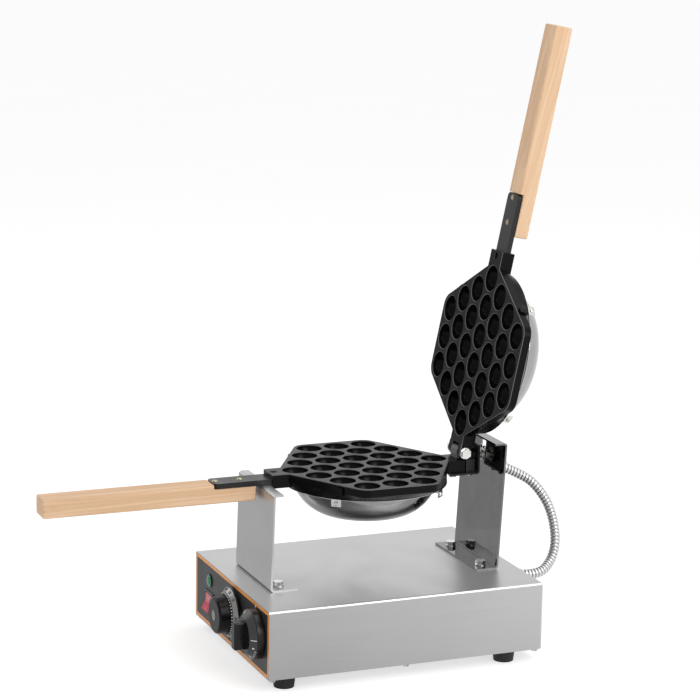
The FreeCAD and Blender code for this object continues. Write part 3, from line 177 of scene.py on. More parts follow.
def vector_math(tree, operation, *values):
    made = add_node(tree, "ShaderNodeVectorMath", {"operation": operation}, dict(enumerate(values)))
    return made.outputs["Value" if operation in ("LENGTH", "DOT_PRODUCT") else "Vector"]


def weighted_sum(tree, first, first_share, second, second_share):
    return math_node(tree, "ADD", math_node(tree, "MULTIPLY", first, first_share),
                     math_node(tree, "MULTIPLY", second, second_share))


def remap(tree, value, low, high, from_low=0.0, from_high=1.0):
    return add_node(tree, "ShaderNodeMapRange", {"clamp": True},
                    {"Value": value, "From Min": from_low, "From Max": from_high, "To Min": low,
                     "To Max": high}).outputs["Result"]


def mix_colour(tree, share, first, second):
    made = add_node(tree, "ShaderNodeMix", {"data_type": "RGBA"}, {0: share, 6: first, 7: second})
    return made.outputs[2]


def shaded(colour, share, lift=0.0):
    return tuple(min(1.0, c * share + lift) for c in colour[:3]) + (1.0,)


def surface_place(tree, kind="Object"):
    return add_node(tree, "ShaderNodeTexCoord").outputs[kind]


def split_axes(tree, vector):
    return add_node(tree, "ShaderNodeSeparateXYZ", {}, {0: vector}).outputs


def noise(tree, place, **inputs):
    return add_node(tree, "ShaderNodeTexNoise", {}, {"Vector": place, **inputs}).outputs["Fac"]


def stretched_noise(tree, place, stretch, detail, roughness, distortion=0.0):
    drawn = vector_math(tree, "MULTIPLY", place, stretch)
    return noise(tree, drawn, Scale=1.0, Detail=detail, Roughness=roughness, Distortion=distortion)


# Distance of the surface from a straight axis through a centre
def axis_distance(tree, centre, axis):
    offset = vector_math(tree, "SUBTRACT", surface_place(tree), centre)
    return vector_math(tree, "LENGTH", vector_math(tree, "CROSS_PRODUCT", offset, axis))


def new_group(name, inputs, outputs):
    tree = bpy.data.node_groups.new(name, "ShaderNodeTree")
    for label, kind, value in inputs:
        socket = tree.interface.new_socket(label, in_out="INPUT", socket_type=kind)
        socket.default_value = value
    for label, kind in outputs:
        tree.interface.new_socket(label, in_out="OUTPUT", socket_type=kind)
    return tree, tree.nodes.new("NodeGroupInput").outputs, tree.nodes.new("NodeGroupOutput")


# Long fine scratches of brushed sheet, drawn out along one direction
def brushed_grain_group(name):
    tree, given, out = new_group(
        name, [("Stretch", "NodeSocketVector", (900.0, 9.0, 900.0)), ("Cloud", "NodeSocketFloat", 9.0)],
        [("Tone", "NodeSocketFloat"), ("Height", "NodeSocketFloat")])
    place = surface_place(tree)
    fine = stretched_noise(tree, place, given["Stretch"], 6.0, 0.7)
    cloud = noise(tree, place, Scale=given["Cloud"], Detail=3.0)
    fine_share = 0.65
    tone = weighted_sum(tree, fine, fine_share, cloud, 1.0 - fine_share)
    set_inputs(tree, out, {"Tone": tone, "Height": fine})
    return tree


# Faint wipe and finger marks that change the gloss
def wiped_gloss_group(name):
    tree, given, out = new_group(
        name, [("Scale", "NodeSocketFloat", 14.0), ("Smooth", "NodeSocketFloat", 0.2),
               ("Dull", "NodeSocketFloat", 0.3)],
        [("Gloss", "NodeSocketFloat"), ("Mask", "NodeSocketFloat")])
    patches = noise(tree, surface_place(tree), Scale=given["Scale"], Detail=5.0, Distortion=0.8)
    patch_edge = (0.35, 0.70)
    mask = remap(tree, patches, 0.0, 1.0, *patch_edge)
    set_inputs(tree, out, {"Gloss": remap(tree, mask, given["Smooth"], given["Dull"]), "Mask": mask})
    return tree


# Orange-peel and fleck of sprayed coatings and moulded plastic
def sprayed_fleck_group(name):
    tree, given, out = new_group(
        name, [("Scale", "NodeSocketFloat", 1400.0), ("Fleck", "NodeSocketFloat", 0.5)],
        [("Tone", "NodeSocketFloat"), ("Height", "NodeSocketFloat")])
    place = surface_place(tree)
    peel = noise(tree, place, Scale=given["Scale"], Detail=2.0)
    cells = add_node(tree, "ShaderNodeTexVoronoi", {"feature": "F1"},
                     {"Vector": place, "Scale": given["Scale"]}).outputs["Distance"]
    speck_reach = 0.25
    specks = remap(tree, cells, 1.0, 0.0, 0.0, speck_reach)
    set_inputs(tree, out, {"Tone": math_node(tree, "MULTIPLY", specks, given["Fleck"]), "Height": peel})
    return tree


# Growth rings, fibres and pores of a sawn and sanded wooden stick
def wood_figure_group(name):
    tree, given, out = new_group(
        name, [("Turn", "NodeSocketVector", (0.0, 0.0, 0.0)),
               ("Pale", "NodeSocketColor", (0.8, 0.55, 0.35, 1.0)),
               ("Dark", "NodeSocketColor", (0.6, 0.37, 0.2, 1.0))],
        [("Color", "NodeSocketColor"), ("Height", "NodeSocketFloat"), ("Fibre", "NodeSocketFloat")])
    turned = add_node(tree, "ShaderNodeMapping", {},
                      {"Vector": surface_place(tree), "Rotation": given["Turn"]}).outputs[0]

    def along(across, lengthways, detail, roughness):
        stretch = (across, lengthways, across)
        return stretched_noise(tree, turned, stretch, detail, roughness, distortion=0.3)

    ring_waves, ring_share, fibre_share, pore_share = 34.0, 0.38, 0.50, 0.35
    pore_edge = (0.66, 0.74)
    pore_colour = (0.30, 0.17, 0.09, 1.0)
    bands = math_node(tree, "MULTIPLY", along(80.0, 1.8, 3.0, 0.5), ring_waves)
    rings = remap(tree, math_node(tree, "SINE", bands), 0.0, 1.0, -1.0, 1.0)
    fibre = along(900.0, 14.0, 4.0, 0.6)
    pores = remap(tree, along(1500.0, 40.0, 2.0, 0.5), 0.0, 1.0, *pore_edge)
    figured = mix_colour(tree, weighted_sum(tree, rings, ring_share, fibre, fibre_share), given["Pale"],
                         given["Dark"])
    colour = mix_colour(tree, math_node(tree, "MULTIPLY", pores, pore_share), figured, pore_colour)
    set_inputs(tree, out, {"Color": colour, "Height": math_node(tree, "SUBTRACT", fibre, pores),
                           "Fibre": fibre})
    return tree


def effect(name, maker, tree, **inputs):
    group = bpy.data.node_groups.get(name) or maker(name)
    return add_node(tree, "ShaderNodeGroup", {"node_tree": group}, inputs).outputs


def wiped_gloss(tree, smooth, dull, scale):
    return effect("wiped_gloss", wiped_gloss_group, tree, Scale=scale, Smooth=smooth, Dull=dull)


def sprayed_fleck(tree, scale, fleck):
    return effect("sprayed_fleck", sprayed_fleck_group, tree, Scale=scale, Fleck=fleck)


def new_material(name, **values):
    made = bpy.data.materials.new(name)
    made.use_nodes = True
    shader = made.node_tree.nodes["Principled BSDF"]
    for key, value in values.items():
        shader.inputs[key.replace("_", " ")].default_value = value
    return made, made.node_tree, shader


def connect_bump(tree, shader, height, strength, depth):
    bump = add_node(tree, "ShaderNodeBump", {}, {"Strength": strength, "Distance": depth, "Height": height})
    set_inputs(tree, shader, {"Normal": bump.outputs["Normal"]})


# Mask of the rounded folds, where the surface faces between two of the main directions
def folded_edge(tree):
    parts = split_axes(tree, vector_math(tree, "ABSOLUTE", surface_place(tree, "Normal")))
    most = math_node(tree, "MAXIMUM", parts["X"], parts["Y"])
    most = math_node(tree, "MAXIMUM", most, parts["Z"])
    fold_facing = (0.90, 0.985)
    return remap(tree, most, 1.0, 0.0, *fold_facing)


# Finishes; a change is a function that is given the colour so far and returns the final one
def brushed_sheet(name, colour, stretch, smooth=0.26, dull=0.36, fold=0.0):
    made, tree, shader = new_material(name, Metallic=1.0)
    grain = effect("brushed_grain", brushed_grain_group, tree, Stretch=stretch)
    wiped = wiped_gloss(tree, smooth, dull, scale=9.0)
    tone_span = (0.3, 0.7)
    scratch_shade, scratch_dulling, scratch_bump = 0.90, 0.10, 0.10
    tone = remap(tree, grain["Tone"], 0.0, 1.0, *tone_span)
    brushed = mix_colour(tree, tone, shaded(colour, scratch_shade), tuple(colour))
    # Painted highlight: the rounded folds are given a paler steel colour, as far as fold says
    fold_highlight = math_node(tree, "MULTIPLY", folded_edge(tree), fold)
    dulling = math_node(tree, "MULTIPLY", grain["Height"], scratch_dulling)
    set_inputs(tree, shader, {"Base Color": mix_colour(tree, fold_highlight, brushed, FOLD_HIGHLIGHT_STEEL),
                              "Roughness": math_node(tree, "ADD", wiped["Gloss"], dulling)})
    connect_bump(tree, shader, grain["Height"], scratch_bump, depth=0.06 * MM)
    return made


def bright_metal(name, colour, smooth, dull, peel=0.05, scale=30.0, change=None):
    made, tree, shader = new_material(name, Metallic=1.0)
    wiped = wiped_gloss(tree, smooth, dull, scale)
    tinted = mix_colour(tree, wiped["Mask"], tuple(colour), shaded(colour, WIPED_SHADE))
    if change:
        tinted = change(tree, tinted)
    set_inputs(tree, shader, {"Base Color": tinted, "Roughness": wiped["Gloss"]})
    if peel:
        speck = sprayed_fleck(tree, scale=600.0, fleck=0.2)
        connect_bump(tree, shader, speck["Height"], peel, depth=0.04 * MM)
    return made


def sprayed_black(name, colour, smooth, dull, scale=1400.0, peel=0.12, fleck=0.35, level=0.5, change=None):
    made, tree, shader = new_material(name, Specular_IOR_Level=level)
    wiped = wiped_gloss(tree, smooth, dull, scale=22.0)
    speck = sprayed_fleck(tree, scale, fleck)
    coat = mix_colour(tree, speck["Tone"], tuple(colour), shaded(colour, 2.2, lift=0.006))
    if change:
        coat = change(tree, coat)
    set_inputs(tree, shader, {"Base Color": coat, "Roughness": wiped["Gloss"]})
    connect_bump(tree, shader, speck["Height"], peel, depth=0.08 * MM)
    return made


def sanded_wood(name, look, turn):
    made, tree, shader = new_material(name, Specular_IOR_Level=0.35)
    figure = effect("wood_figure", wood_figure_group, tree, Turn=(turn, 0.0, 0.0),
                    Pale=tuple(look.wood_light), Dark=tuple(look.wood_dark))
    rough_span = (0.48, 0.66)
    rough = remap(tree, figure["Fibre"], *rough_span)
    set_inputs(tree, shader, {"Base Color": figure["Color"], "Roughness": rough})
    connect_bump(tree, shader, figure["Height"], strength=0.25, depth=0.12 * MM)
    return made


def clear_plastic(name, colour, coat, glow=0.0):
    made, tree, shader = new_material(name, Roughness=0.22, Coat_Weight=coat, Coat_Roughness=0.05)
    speck = sprayed_fleck(tree, scale=900.0, fleck=0.3)
    tinted = mix_colour(tree, speck["Tone"], tuple(colour), shaded(colour, 1.5, lift=0.01))
    set_inputs(tree, shader, {"Base Color": tinted})
    if glow:
        set_inputs(tree, shader, {"Emission Color": tinted, "Emission Strength": glow})
    connect_bump(tree, shader, speck["Height"], strength=0.04, depth=0.05 * MM)
    return made


def printed_ink(name, colour):
    made, tree, shader = new_material(name, Roughness=0.45)
    speck = sprayed_fleck(tree, scale=2500.0, fleck=0.4)
    printed = mix_colour(tree, speck["Tone"], tuple(colour), shaded(colour, 0.82))
    set_inputs(tree, shader, {"Base Color": printed})
    return made


def white_ink(look):
    return bpy.data.materials.get("white_ink") or printed_ink("white_ink", look.marks)


def moulded_plastic(name, look, level, peel=0.05):
    return sprayed_black(name, look.plastic, smooth=0.20, dull=0.30, scale=700.0, peel=peel, level=level)


# Moulded dial whose bevel has a finish of its own between two radii; on the timer dial this grey is a
# painted sheen on black plastic
def dial_plastic(name, bevel, rim_colour, bevel_colour, bevel_shares, metal=0.0):
    made, tree, shader = new_material(name, Specular_IOR_Level=0.4)
    inner, outer = (bevel.inner + share * (bevel.outer - bevel.inner) for share in bevel_shares)
    radius = axis_distance(tree, bevel.centre, FRONT)
    ring = math_node(tree, "MULTIPLY", math_node(tree, "GREATER_THAN", radius, inner),
                     math_node(tree, "LESS_THAN", radius, outer))
    wiped = wiped_gloss(tree, smooth=0.20, dull=0.30, scale=60.0)
    speck = sprayed_fleck(tree, scale=700.0, fleck=0.3)
    sheen = mix_colour(tree, speck["Tone"], tuple(bevel_colour), shaded(bevel_colour, 1.2, lift=0.004))
    set_inputs(tree, shader, {"Base Color": mix_colour(tree, ring, tuple(rim_colour), sheen),
                              "Metallic": math_node(tree, "MULTIPLY", ring, metal),
                              "Roughness": wiped["Gloss"]})
    connect_bump(tree, shader, speck["Height"], strength=0.05, depth=0.05 * MM)
    return made


def paint(node_names, material):
    for name in node_names.split():
        slots = frame["nodes"][name].data.materials
        slots.clear()
        slots.append(material)


# Mesh helpers
def new_object(name, data):
    made = bpy.data.objects.new(name, data)
    bpy.context.scene.collection.objects.link(made)
    return made


def mesh_from(name, builder):
    work = bmesh.new()
    builder(work)
    bmesh.ops.recalc_face_normals(work, faces=work.faces)
    mesh = bpy.data.meshes.new(name)
    work.to_mesh(mesh)
    work.free()
    return mesh


def build_piece(name, builder, material, body):
    made = new_object(name, mesh_from(name, builder))
    made.data.materials.append(material)
    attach(made, body)
    return made


# The mesh that a curve makes; the curve itself is dropped
def curve_mesh(curve):
    holder = new_object(curve.name, curve)
    bpy.context.view_layer.update()
    mesh = bpy.data.meshes.new_from_object(holder.evaluated_get(bpy.context.evaluated_depsgraph_get()))
    bpy.data.objects.remove(holder)
    bpy.data.curves.remove(curve)
    return mesh


def axes_at(across, upward, normal, origin):
    return Matrix.Translation(origin) @ Matrix((across, upward, normal)).transposed().to_4x4()


def disc(radius, sides=16):
    return [(radius * math.cos(2 * math.pi * k / sides), radius * math.sin(2 * math.pi * k / sides))
            for k in range(sides)]


def stroke(width, length):
    x, y = width / 2, length / 2
    return [(-x, -y), (x, -y), (x, y), (-x, y)]


def add_row(work, matrix, outline, height):
    return [work.verts.new(matrix @ Vector((x, y, height))) for x, y in outline]


# Faces from each row of corners to the next one, and over both ends where it is capped
def add_skin(work, rows, capped=False):
    for first, second in zip(rows, rows[1:]):
        for k in range(len(first)):
            j = (k + 1) % len(first)
            work.faces.new((first[k], first[j], second[j], second[k]))
    if capped:
        work.faces.new(rows[0])
        work.faces.new(rows[-1])


def add_prism(work, outline, matrix, depth):
    add_skin(work, [add_row(work, matrix, outline, height) for height in (0.0, depth)], capped=True)


# Ring whose section is given as radii and heights
def add_band(work, matrix, section, sides):
    rows = [add_row(work, matrix, disc(radius, sides), height) for radius, height in section]
    add_skin(work, rows + rows[:1])


# Round boss whose profile is given as shares of its radius and height
def add_boss(work, matrix, radius, height, shares, sides):
    add_skin(work, [add_row(work, matrix, disc(radius * wide, sides), height * rise)
                    for wide, rise in shares], capped=True)


def add_numeral(work, words, size, depth, matrix):
    curve = bpy.data.curves.new("numeral", "FONT")
    curve.body = words
    curve.size = size
    curve.align_x = "CENTER"
    curve.align_y = "CENTER"
    curve.extrude = depth / 2
    curve.offset = size * BOLD_SHARE
    curve.resolution_u = 3
    mesh = curve_mesh(curve)
    mesh.transform(matrix @ Matrix.Translation(UP * (depth / 2)))
    work.from_mesh(mesh)
    bpy.data.meshes.remove(mesh)


# Sloping ring on the front of a dial, measured on the dial's own mesh
class DialBevel:
    touch = 0.05 * MM

    def __init__(self, node):
        low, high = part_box(node)
        self.centre = (low + high) / 2
        points = [corner.co for corner in frame["nodes"][node].data.vertices]
        self.outer = (high.x - low.x) / 2
        self.front = low.y
        self.inner = max(self.radius_of(p) for p in points if p.y < low.y + self.touch)
        self.rim = min(p.y for p in points if self.radius_of(p) > self.outer - self.touch)
        self.tilt = math.atan2(self.rim - self.front, self.outer - self.inner)

    def radius_of(self, point):
        return math.hypot(point.x - self.centre.x, point.z - self.centre.z)

    # Share 0 is the bevel's inner edge and 1 its outer one; the angle runs clockwise from the top
    def place(self, angle, share):
        radius = self.inner + share * (self.outer - self.inner)
        depth = self.front + share * (self.rim - self.front)
        return dial_frame(self.centre, depth, angle, radius, self.tilt)


# Frame on a dial at an angle from its top: x across, y outwards up the cone, z off the surface
def dial_frame(centre, depth_y, angle=0.0, radius=0.0, cone_tilt=0.0):
    out = Vector((math.sin(angle), 0.0, math.cos(angle)))
    outward = (out * math.cos(cone_tilt) - FRONT * math.sin(cone_tilt)).normalized()
    normal = (FRONT * math.cos(cone_tilt) + out * math.sin(cone_tilt)).normalized()
    origin = Vector((centre.x, depth_y, centre.z)) + out * radius
    return axes_at(outward.cross(normal), outward, normal, origin)


# Frame on the rocker's own front surface; share runs from -1 at the bottom to 1 at the top
def rocker_face(share):
    low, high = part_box("rocker")
    start = Vector(((low.x + high.x) / 2, low.y - MM, (low.z + high.z + share * (high.z - low.z)) / 2))
    hit, origin, normal, _ = frame["nodes"]["rocker"].ray_cast(start, -FRONT)
    if not hit:
        raise RuntimeError("No rocker face lies in front of the mark")
    return axes_at(RIGHT, normal.cross(RIGHT).normalized(), normal, origin)


def joint_named(name):
    return next(joint for joint in frame["joints"] if joint["name"] == name)


class PAN_OT_control_box(bpy.types.Operator):
    """Finish the folded cover, the plates behind it, the brackets and the feet"""
    bl_idname = "egg_pan.control_box"
    bl_label = "Control box and brackets"

    cover_grain = (700.0, 7.0, 700.0)
    bracket_grain = (800.0, 800.0, 8.0)
    rubber = (0.008, 0.008, 0.008, 1.0)

    def execute(self, context):
        look = context.scene.pan_finishes
        # The cover's folds carry a painted highlight
        paint("box_cover bottom_plate front_plate",
              brushed_sheet("cover_brushed_steel", look.satin_steel, self.cover_grain, fold=0.6))
        paint("front_bracket", brushed_sheet("front_bracket_steel", look.front_steel, self.bracket_grain,
                                             smooth=0.28, dull=0.38))
        paint("rear_bracket",
              bright_metal("rear_bracket_mirror_steel", look.bracket_steel, smooth=0.035, dull=0.07,
                           peel=0.02))
        paint("feet",
              sprayed_black("foot_rubber", self.rubber, smooth=0.55, dull=0.7, scale=900.0, peel=0.3))
        return {"FINISHED"}


class PAN_OT_fasteners(bpy.types.Operator):
    """Finish the bolts, nuts, washers and screws"""
    bl_idname = "egg_pan.fasteners"
    bl_label = "Fasteners"

    plated = """bottom_screws foot_screws foot_nuts bracket_bolts bracket_nuts lower_dish_screws
        upper_dish_screws shelf_screws shaft_nuts hinge_bolt hinge_washers hinge_nut lower_clamp_screw
        upper_clamp_screw thermostat_shaft timer_shaft"""

    def execute(self, context):
        look = context.scene.pan_finishes
        paint(self.plated, bright_metal("zinc_plate", look.plated_steel, smooth=0.16, dull=0.30, scale=90.0))
        paint("lower_set_screw upper_set_screw",
              sprayed_black("set_screw_black", look.black_steel, smooth=0.3, dull=0.4))
        return {"FINISHED"}


class PAN_OT_pans(bpy.types.Operator):
    """Finish the cast pans, their dish covers, the hinge and the heaters"""
    bl_idname = "egg_pan.pans"
    bl_label = "Cast pans and hinge"

    heater_steel = (0.30, 0.28, 0.26, 1.0)
    coating_gloss = 0.12
    half_closing_gap = 0.2 * MM
    lip_depth = 1.0 * MM
    lip_facing = (0.86, 0.985)
    ear_start = 81.0 * MM
    ear_reach = 91.5 * MM
    ear_degrees = (42.0, -42.0, 222.0, 138.0)
    tab_middle = 4.6 * MM
    head_radius = 2.6 * MM
    head_height = 1.3 * MM
    head_shares = ((1.0, 0.0), (1.0, 0.3), (0.85, 0.75), (0.5, 1.0), (0.42, 0.55))
    head_sides = 20
    flange_radii = (79.6 * MM, 91.0 * MM)
    flange_depths = (0.15 * MM, 0.80 * MM)
    flange_round = 0.12 * MM
    flange_sides = 160

    def execute(self, context):
        look = context.scene.pan_finishes
        for half, body, place in (("lower", "pan_assembly", Matrix.Identity(4)),
                                  ("upper", "upper_pan_half", self.opened())):
            axis = (place.to_3x3() @ UP).normalized()
            self.casting(look, half, place, axis)
            self.dish(look, half, body, place, axis)
        paint("stop_block swivel_bracket",
              sprayed_black("hinge_black", look.black_steel, smooth=0.30, dull=0.42, level=0.4))
        paint("swivel_shaft", bright_metal("swivel_shaft_steel", look.plated_steel, smooth=0.25, dull=0.4))
        paint("lower_heater upper_heater lower_heater_clamp upper_heater_clamp",
              bright_metal("heater_dull_steel", self.heater_steel, smooth=0.4, dull=0.6))
        return {"FINISHED"}

    # Turn and mirror that take a lower piece to its place on the opened upper pan
    def opened(self):
        hinge = joint_named("pan_hinge")
        pivot = Vector(hinge["pos_m"])
        mirror = Matrix.Translation(UP * (2 * self.parting_height())) @ Matrix.Scale(-1.0, 4, UP)
        turn = Matrix.Rotation(-math.radians(hinge["range_deg"][1]), 4, "X")
        return Matrix.Translation(pivot) @ turn @ Matrix.Translation(-pivot) @ mirror

    def parting_height(self):
        return joint_named("pan_lift")["pos_m"][2]

    # Non-stick coating with a painted highlight: a paler colour on the rounded lips of the cups and the edge
    # of the pan's face
    def casting(self, look, half, place, axis):
        face = place @ (UP * (self.parting_height() - self.half_closing_gap))

        def paint_lip_highlight(tree, coat):
            offset = vector_math(tree, "SUBTRACT", surface_place(tree), face)
            height = vector_math(tree, "DOT_PRODUCT", offset, axis)
            facing = vector_math(tree, "DOT_PRODUCT", surface_place(tree, "Normal"), axis)
            near = remap(tree, height, 0.0, 1.0, -self.lip_depth, -self.lip_depth / 2)
            turned = remap(tree, math_node(tree, "ABSOLUTE", facing), 1.0, 0.0, *self.lip_facing)
            return mix_colour(tree, math_node(tree, "MULTIPLY", near, turned), coat,
                              tuple(look.lip_highlight_coating))

        paint(half + "_pan",
              sprayed_black(half + "_pan_coating", look.coating, smooth=0.20, dull=0.28, scale=1100.0,
                            peel=0.10, fleck=0.15, level=self.coating_gloss, change=paint_lip_highlight))

    # Polished bowl; outside its rim the ears carry a painted highlight in the plated steel colour
    def dish(self, look, half, body, place, axis):
        low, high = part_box("lower_dish")
        seat = place @ Matrix.Translation(((low.x + high.x) / 2, (low.y + high.y) / 2, high.z))

        def paint_ear_highlight(tree, bowl):
            radius = axis_distance(tree, seat.translation, axis)
            ears = math_node(tree, "GREATER_THAN", radius, self.ear_start)
            return mix_colour(tree, ears, bowl, tuple(look.plated_steel))

        paint(half + "_dish",
              bright_metal(half + "_dish_polished_steel", look.dish_steel, smooth=0.08, dull=0.14,
                           peel=0.0, change=paint_ear_highlight))
        build_piece(half + "_dish_rim", lambda work: self.flange(work, seat),
                    bright_metal(half + "_dish_rim_steel", look.rim_steel, smooth=0.12, dull=0.20),
                    body)
        build_piece(half + "_tab_screws", lambda work: self.tab_heads(work, seat),
                    bpy.data.materials["zinc_plate"], body)

    # Flat flange between the ears; its edge shows as a bright line under the casting
    def flange(self, work, seat):
        inner, outer = self.flange_radii
        top, low = self.flange_depths
        worn = self.flange_round
        section = ((inner, -top), (outer - worn, -top), (outer, -top - worn), (outer, -low + worn),
                   (outer - worn, -low), (inner, -low))
        add_band(work, seat, section, self.flange_sides)

    # Domed screw head on the outside of each ear's tab
    def tab_heads(self, work, seat):
        for degrees in self.ear_degrees:
            turn = math.radians(degrees)
            out = Vector((math.cos(turn), math.sin(turn), 0.0))
            foot = axes_at(UP.cross(out), UP, out, out * self.ear_reach - UP * self.tab_middle)
            add_boss(work, seat @ foot, self.head_radius, self.head_height, self.head_shares,
                     self.head_sides)


class PAN_OT_handles(bpy.types.Operator):
    """Finish the wooden handles, their bars and the rivets"""
    bl_idname = "egg_pan.handles"
    bl_label = "Handles"

    def execute(self, context):
        look = context.scene.pan_finishes
        low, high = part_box("upper_handle")
        lean = math.atan2(high.z - low.z, high.y - low.y)
        paint("lower_handle", sanded_wood("lower_handle_wood", look, 0.0))
        paint("upper_handle", sanded_wood("upper_handle_wood", look, -lean))
        paint("lower_handle_bar upper_handle_bar",
              sprayed_black("handle_bar_black", look.black_steel, smooth=0.30, dull=0.42, peel=0.10,
                            level=0.4))
        paint("lower_rivets upper_rivets", bright_metal("rivet_metal", look.rivet, smooth=0.2, dull=0.32))
        return {"FINISHED"}


class PAN_OT_panel(bpy.types.Operator):
    """Finish the control panel with its lamp and switch"""
    bl_idname = "egg_pan.panel"
    bl_label = "Panel, lamp and switch"

    index_radius = 1.3 * MM
    index_left = 6.0 * MM
    index_above = 28.2 * MM
    rocker_mark = 3.4 * MM
    rocker_line = 0.6 * MM
    rocker_mark_share = 0.58
    ring_sides = 24

    def execute(self, context):
        look = context.scene.control_finishes
        paint("panel_field",
              sprayed_black("panel_film", look.field, smooth=0.30, dull=0.38, scale=1600.0, peel=0.05,
                            fleck=0.2, level=0.35))
        paint("panel_trim", clear_plastic("panel_orange_line", look.border, coat=0.0))
        paint("lamp_body switch_frame thermostat timer terminal_block",
              moulded_plastic("moulded_black_plastic", look, level=0.5, peel=0.06))
        paint("lamp_lens", clear_plastic("lamp_green_lens", look.lamp, coat=0.8, glow=0.06))
        paint("rocker", clear_plastic("rocker_red_plastic", look.rocker, coat=0.6, glow=0.13))
        self.index_dot(look)
        build_piece("rocker_marks", lambda work: self.ring_and_line(work, look.mark_height),
                    white_ink(look), "switch_rocker")
        return {"FINISHED"}

    def index_dot(self, look):
        timer = DialBevel("timer_dial").centre
        low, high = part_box("panel_field")
        centre = Vector((timer.x - self.index_left, low.y, timer.z + self.index_above))
        dot, place = disc(self.index_radius), dial_frame(centre, low.y)
        build_piece("timer_index_dot", lambda work: add_prism(work, dot, place, look.mark_height),
                    white_ink(look), "root")

    def ring_and_line(self, work, height):
        outer = self.rocker_mark / 2
        inner = outer - self.rocker_line
        section = ((outer, 0.0), (outer, height), (inner, height), (inner, 0.0))
        add_band(work, rocker_face(self.rocker_mark_share), section, self.ring_sides)
        add_prism(work, stroke(self.rocker_line, self.rocker_mark), rocker_face(-self.rocker_mark_share),
                  height)


class PAN_OT_temperature_knob(bpy.types.Operator):
    """Finish the temperature knob and number its silver bevel"""
    bl_idname = "egg_pan.temperature_knob"
    bl_label = "Temperature knob"

    number_size = 4.6 * MM
    number_share = 0.58
    dot_radius = 0.62 * MM
    dot_share = 0.13
    dot_sides = 10
    dots = 44
    silver_shares = (0.28, 0.90)
    first = math.radians(88.0)
    sweep = math.radians(312.0)
    step = 25
    badge_radius = 5.8 * MM
    badge_rise = 0.5 * MM
    badge_shares = ((1.0, 0.0), (1.0, 0.5), (0.94, 0.8), (0.80, 0.8), (0.76, 0.4), (0.70, 0.7), (0.4, 0.92))
    badge_sides = 40

    def execute(self, context):
        look = context.scene.control_finishes
        bevel = DialBevel("temperature_dial")
        paint("temperature_dial",
              dial_plastic("temperature_dial_face", bevel, look.plastic, look.dial_silver,
                           self.silver_shares, metal=0.6))
        paint("temperature_cap", moulded_plastic("cap_black_plastic", look, level=0.2))
        build_piece("temperature_dial_numbers", lambda work: self.numbers(work, bevel, look),
                    printed_ink("black_ink", look.ink), "temperature_knob")
        build_piece("temperature_dial_dots", lambda work: self.dot_row(work, bevel, look),
                    white_ink(look), "temperature_knob")
        build_piece("temperature_cap_badge", lambda work: self.badge(work, bevel),
                    bright_metal("badge_silver", look.dial_silver, smooth=0.22, dull=0.32),
                    "temperature_knob")
        return {"FINISHED"}

    def numbers(self, work, bevel, look):
        count = look.heat_numbers
        for k in range(count + 1):
            place = bevel.place(self.first + self.sweep * k / count, self.number_share)
            add_numeral(work, str(self.step * (count - k)), self.number_size, look.mark_height, place)

    def dot_row(self, work, bevel, look):
        for k in range(self.dots):
            place = bevel.place(2 * math.pi * k / self.dots, self.dot_share)
            add_prism(work, disc(self.dot_radius, self.dot_sides), place, look.mark_height)

    # Plain domed disc with a groove inside its edge
    def badge(self, work, bevel):
        low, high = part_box("temperature_cap")
        add_boss(work, dial_frame(bevel.centre, low.y), self.badge_radius, self.badge_rise,
                 self.badge_shares, self.badge_sides)


class PAN_OT_timer_knob(bpy.types.Operator):
    """Finish the timer knob and number its bevel"""
    bl_idname = "egg_pan.timer_knob"
    bl_label = "Timer knob"

    number_size = 4.0 * MM
    number_share = 0.50
    stroke_width = 0.5 * MM
    stroke_length = 2.4 * MM
    stroke_share = 0.80
    pointer_width = 0.7 * MM
    pointer_length = 7.0 * MM
    pointer_share = 0.5
    pointer_angle = math.radians(89.0)
    sheen_shares = (0.0, 0.90)
    first = math.radians(112.0)
    sweep = math.radians(230.0)
    strokes_per_number = 5

    def execute(self, context):
        look = context.scene.control_finishes
        bevel = DialBevel("timer_dial")
        # The timer's grey bevel is a painted sheen on black plastic
        paint("timer_dial",
              dial_plastic("timer_dial_face", bevel, look.plastic, look.timer_bevel_sheen, self.sheen_shares))
        paint("timer_grip", moulded_plastic("timer_grip_plastic", look, level=0.4))
        build_piece("timer_dial_marks", lambda work: self.marks(work, bevel, look),
                    white_ink(look), "timer_knob")
        return {"FINISHED"}

    def marks(self, work, bevel, look):
        count = look.timer_numbers
        total = count * self.strokes_per_number
        add_prism(work, stroke(self.pointer_width, self.pointer_length),
                  bevel.place(self.pointer_angle, self.pointer_share), look.mark_height)
        for k in range(total + 1):
            angle = self.first + self.sweep * k / total
            if k % self.strokes_per_number:
                add_prism(work, stroke(self.stroke_width, self.stroke_length),
                          bevel.place(angle, self.stroke_share), look.mark_height)
            else:
                number = str(count - k // self.strokes_per_number)
                add_numeral(work, number, self.number_size, look.mark_height,
                            bevel.place(angle, self.number_share))


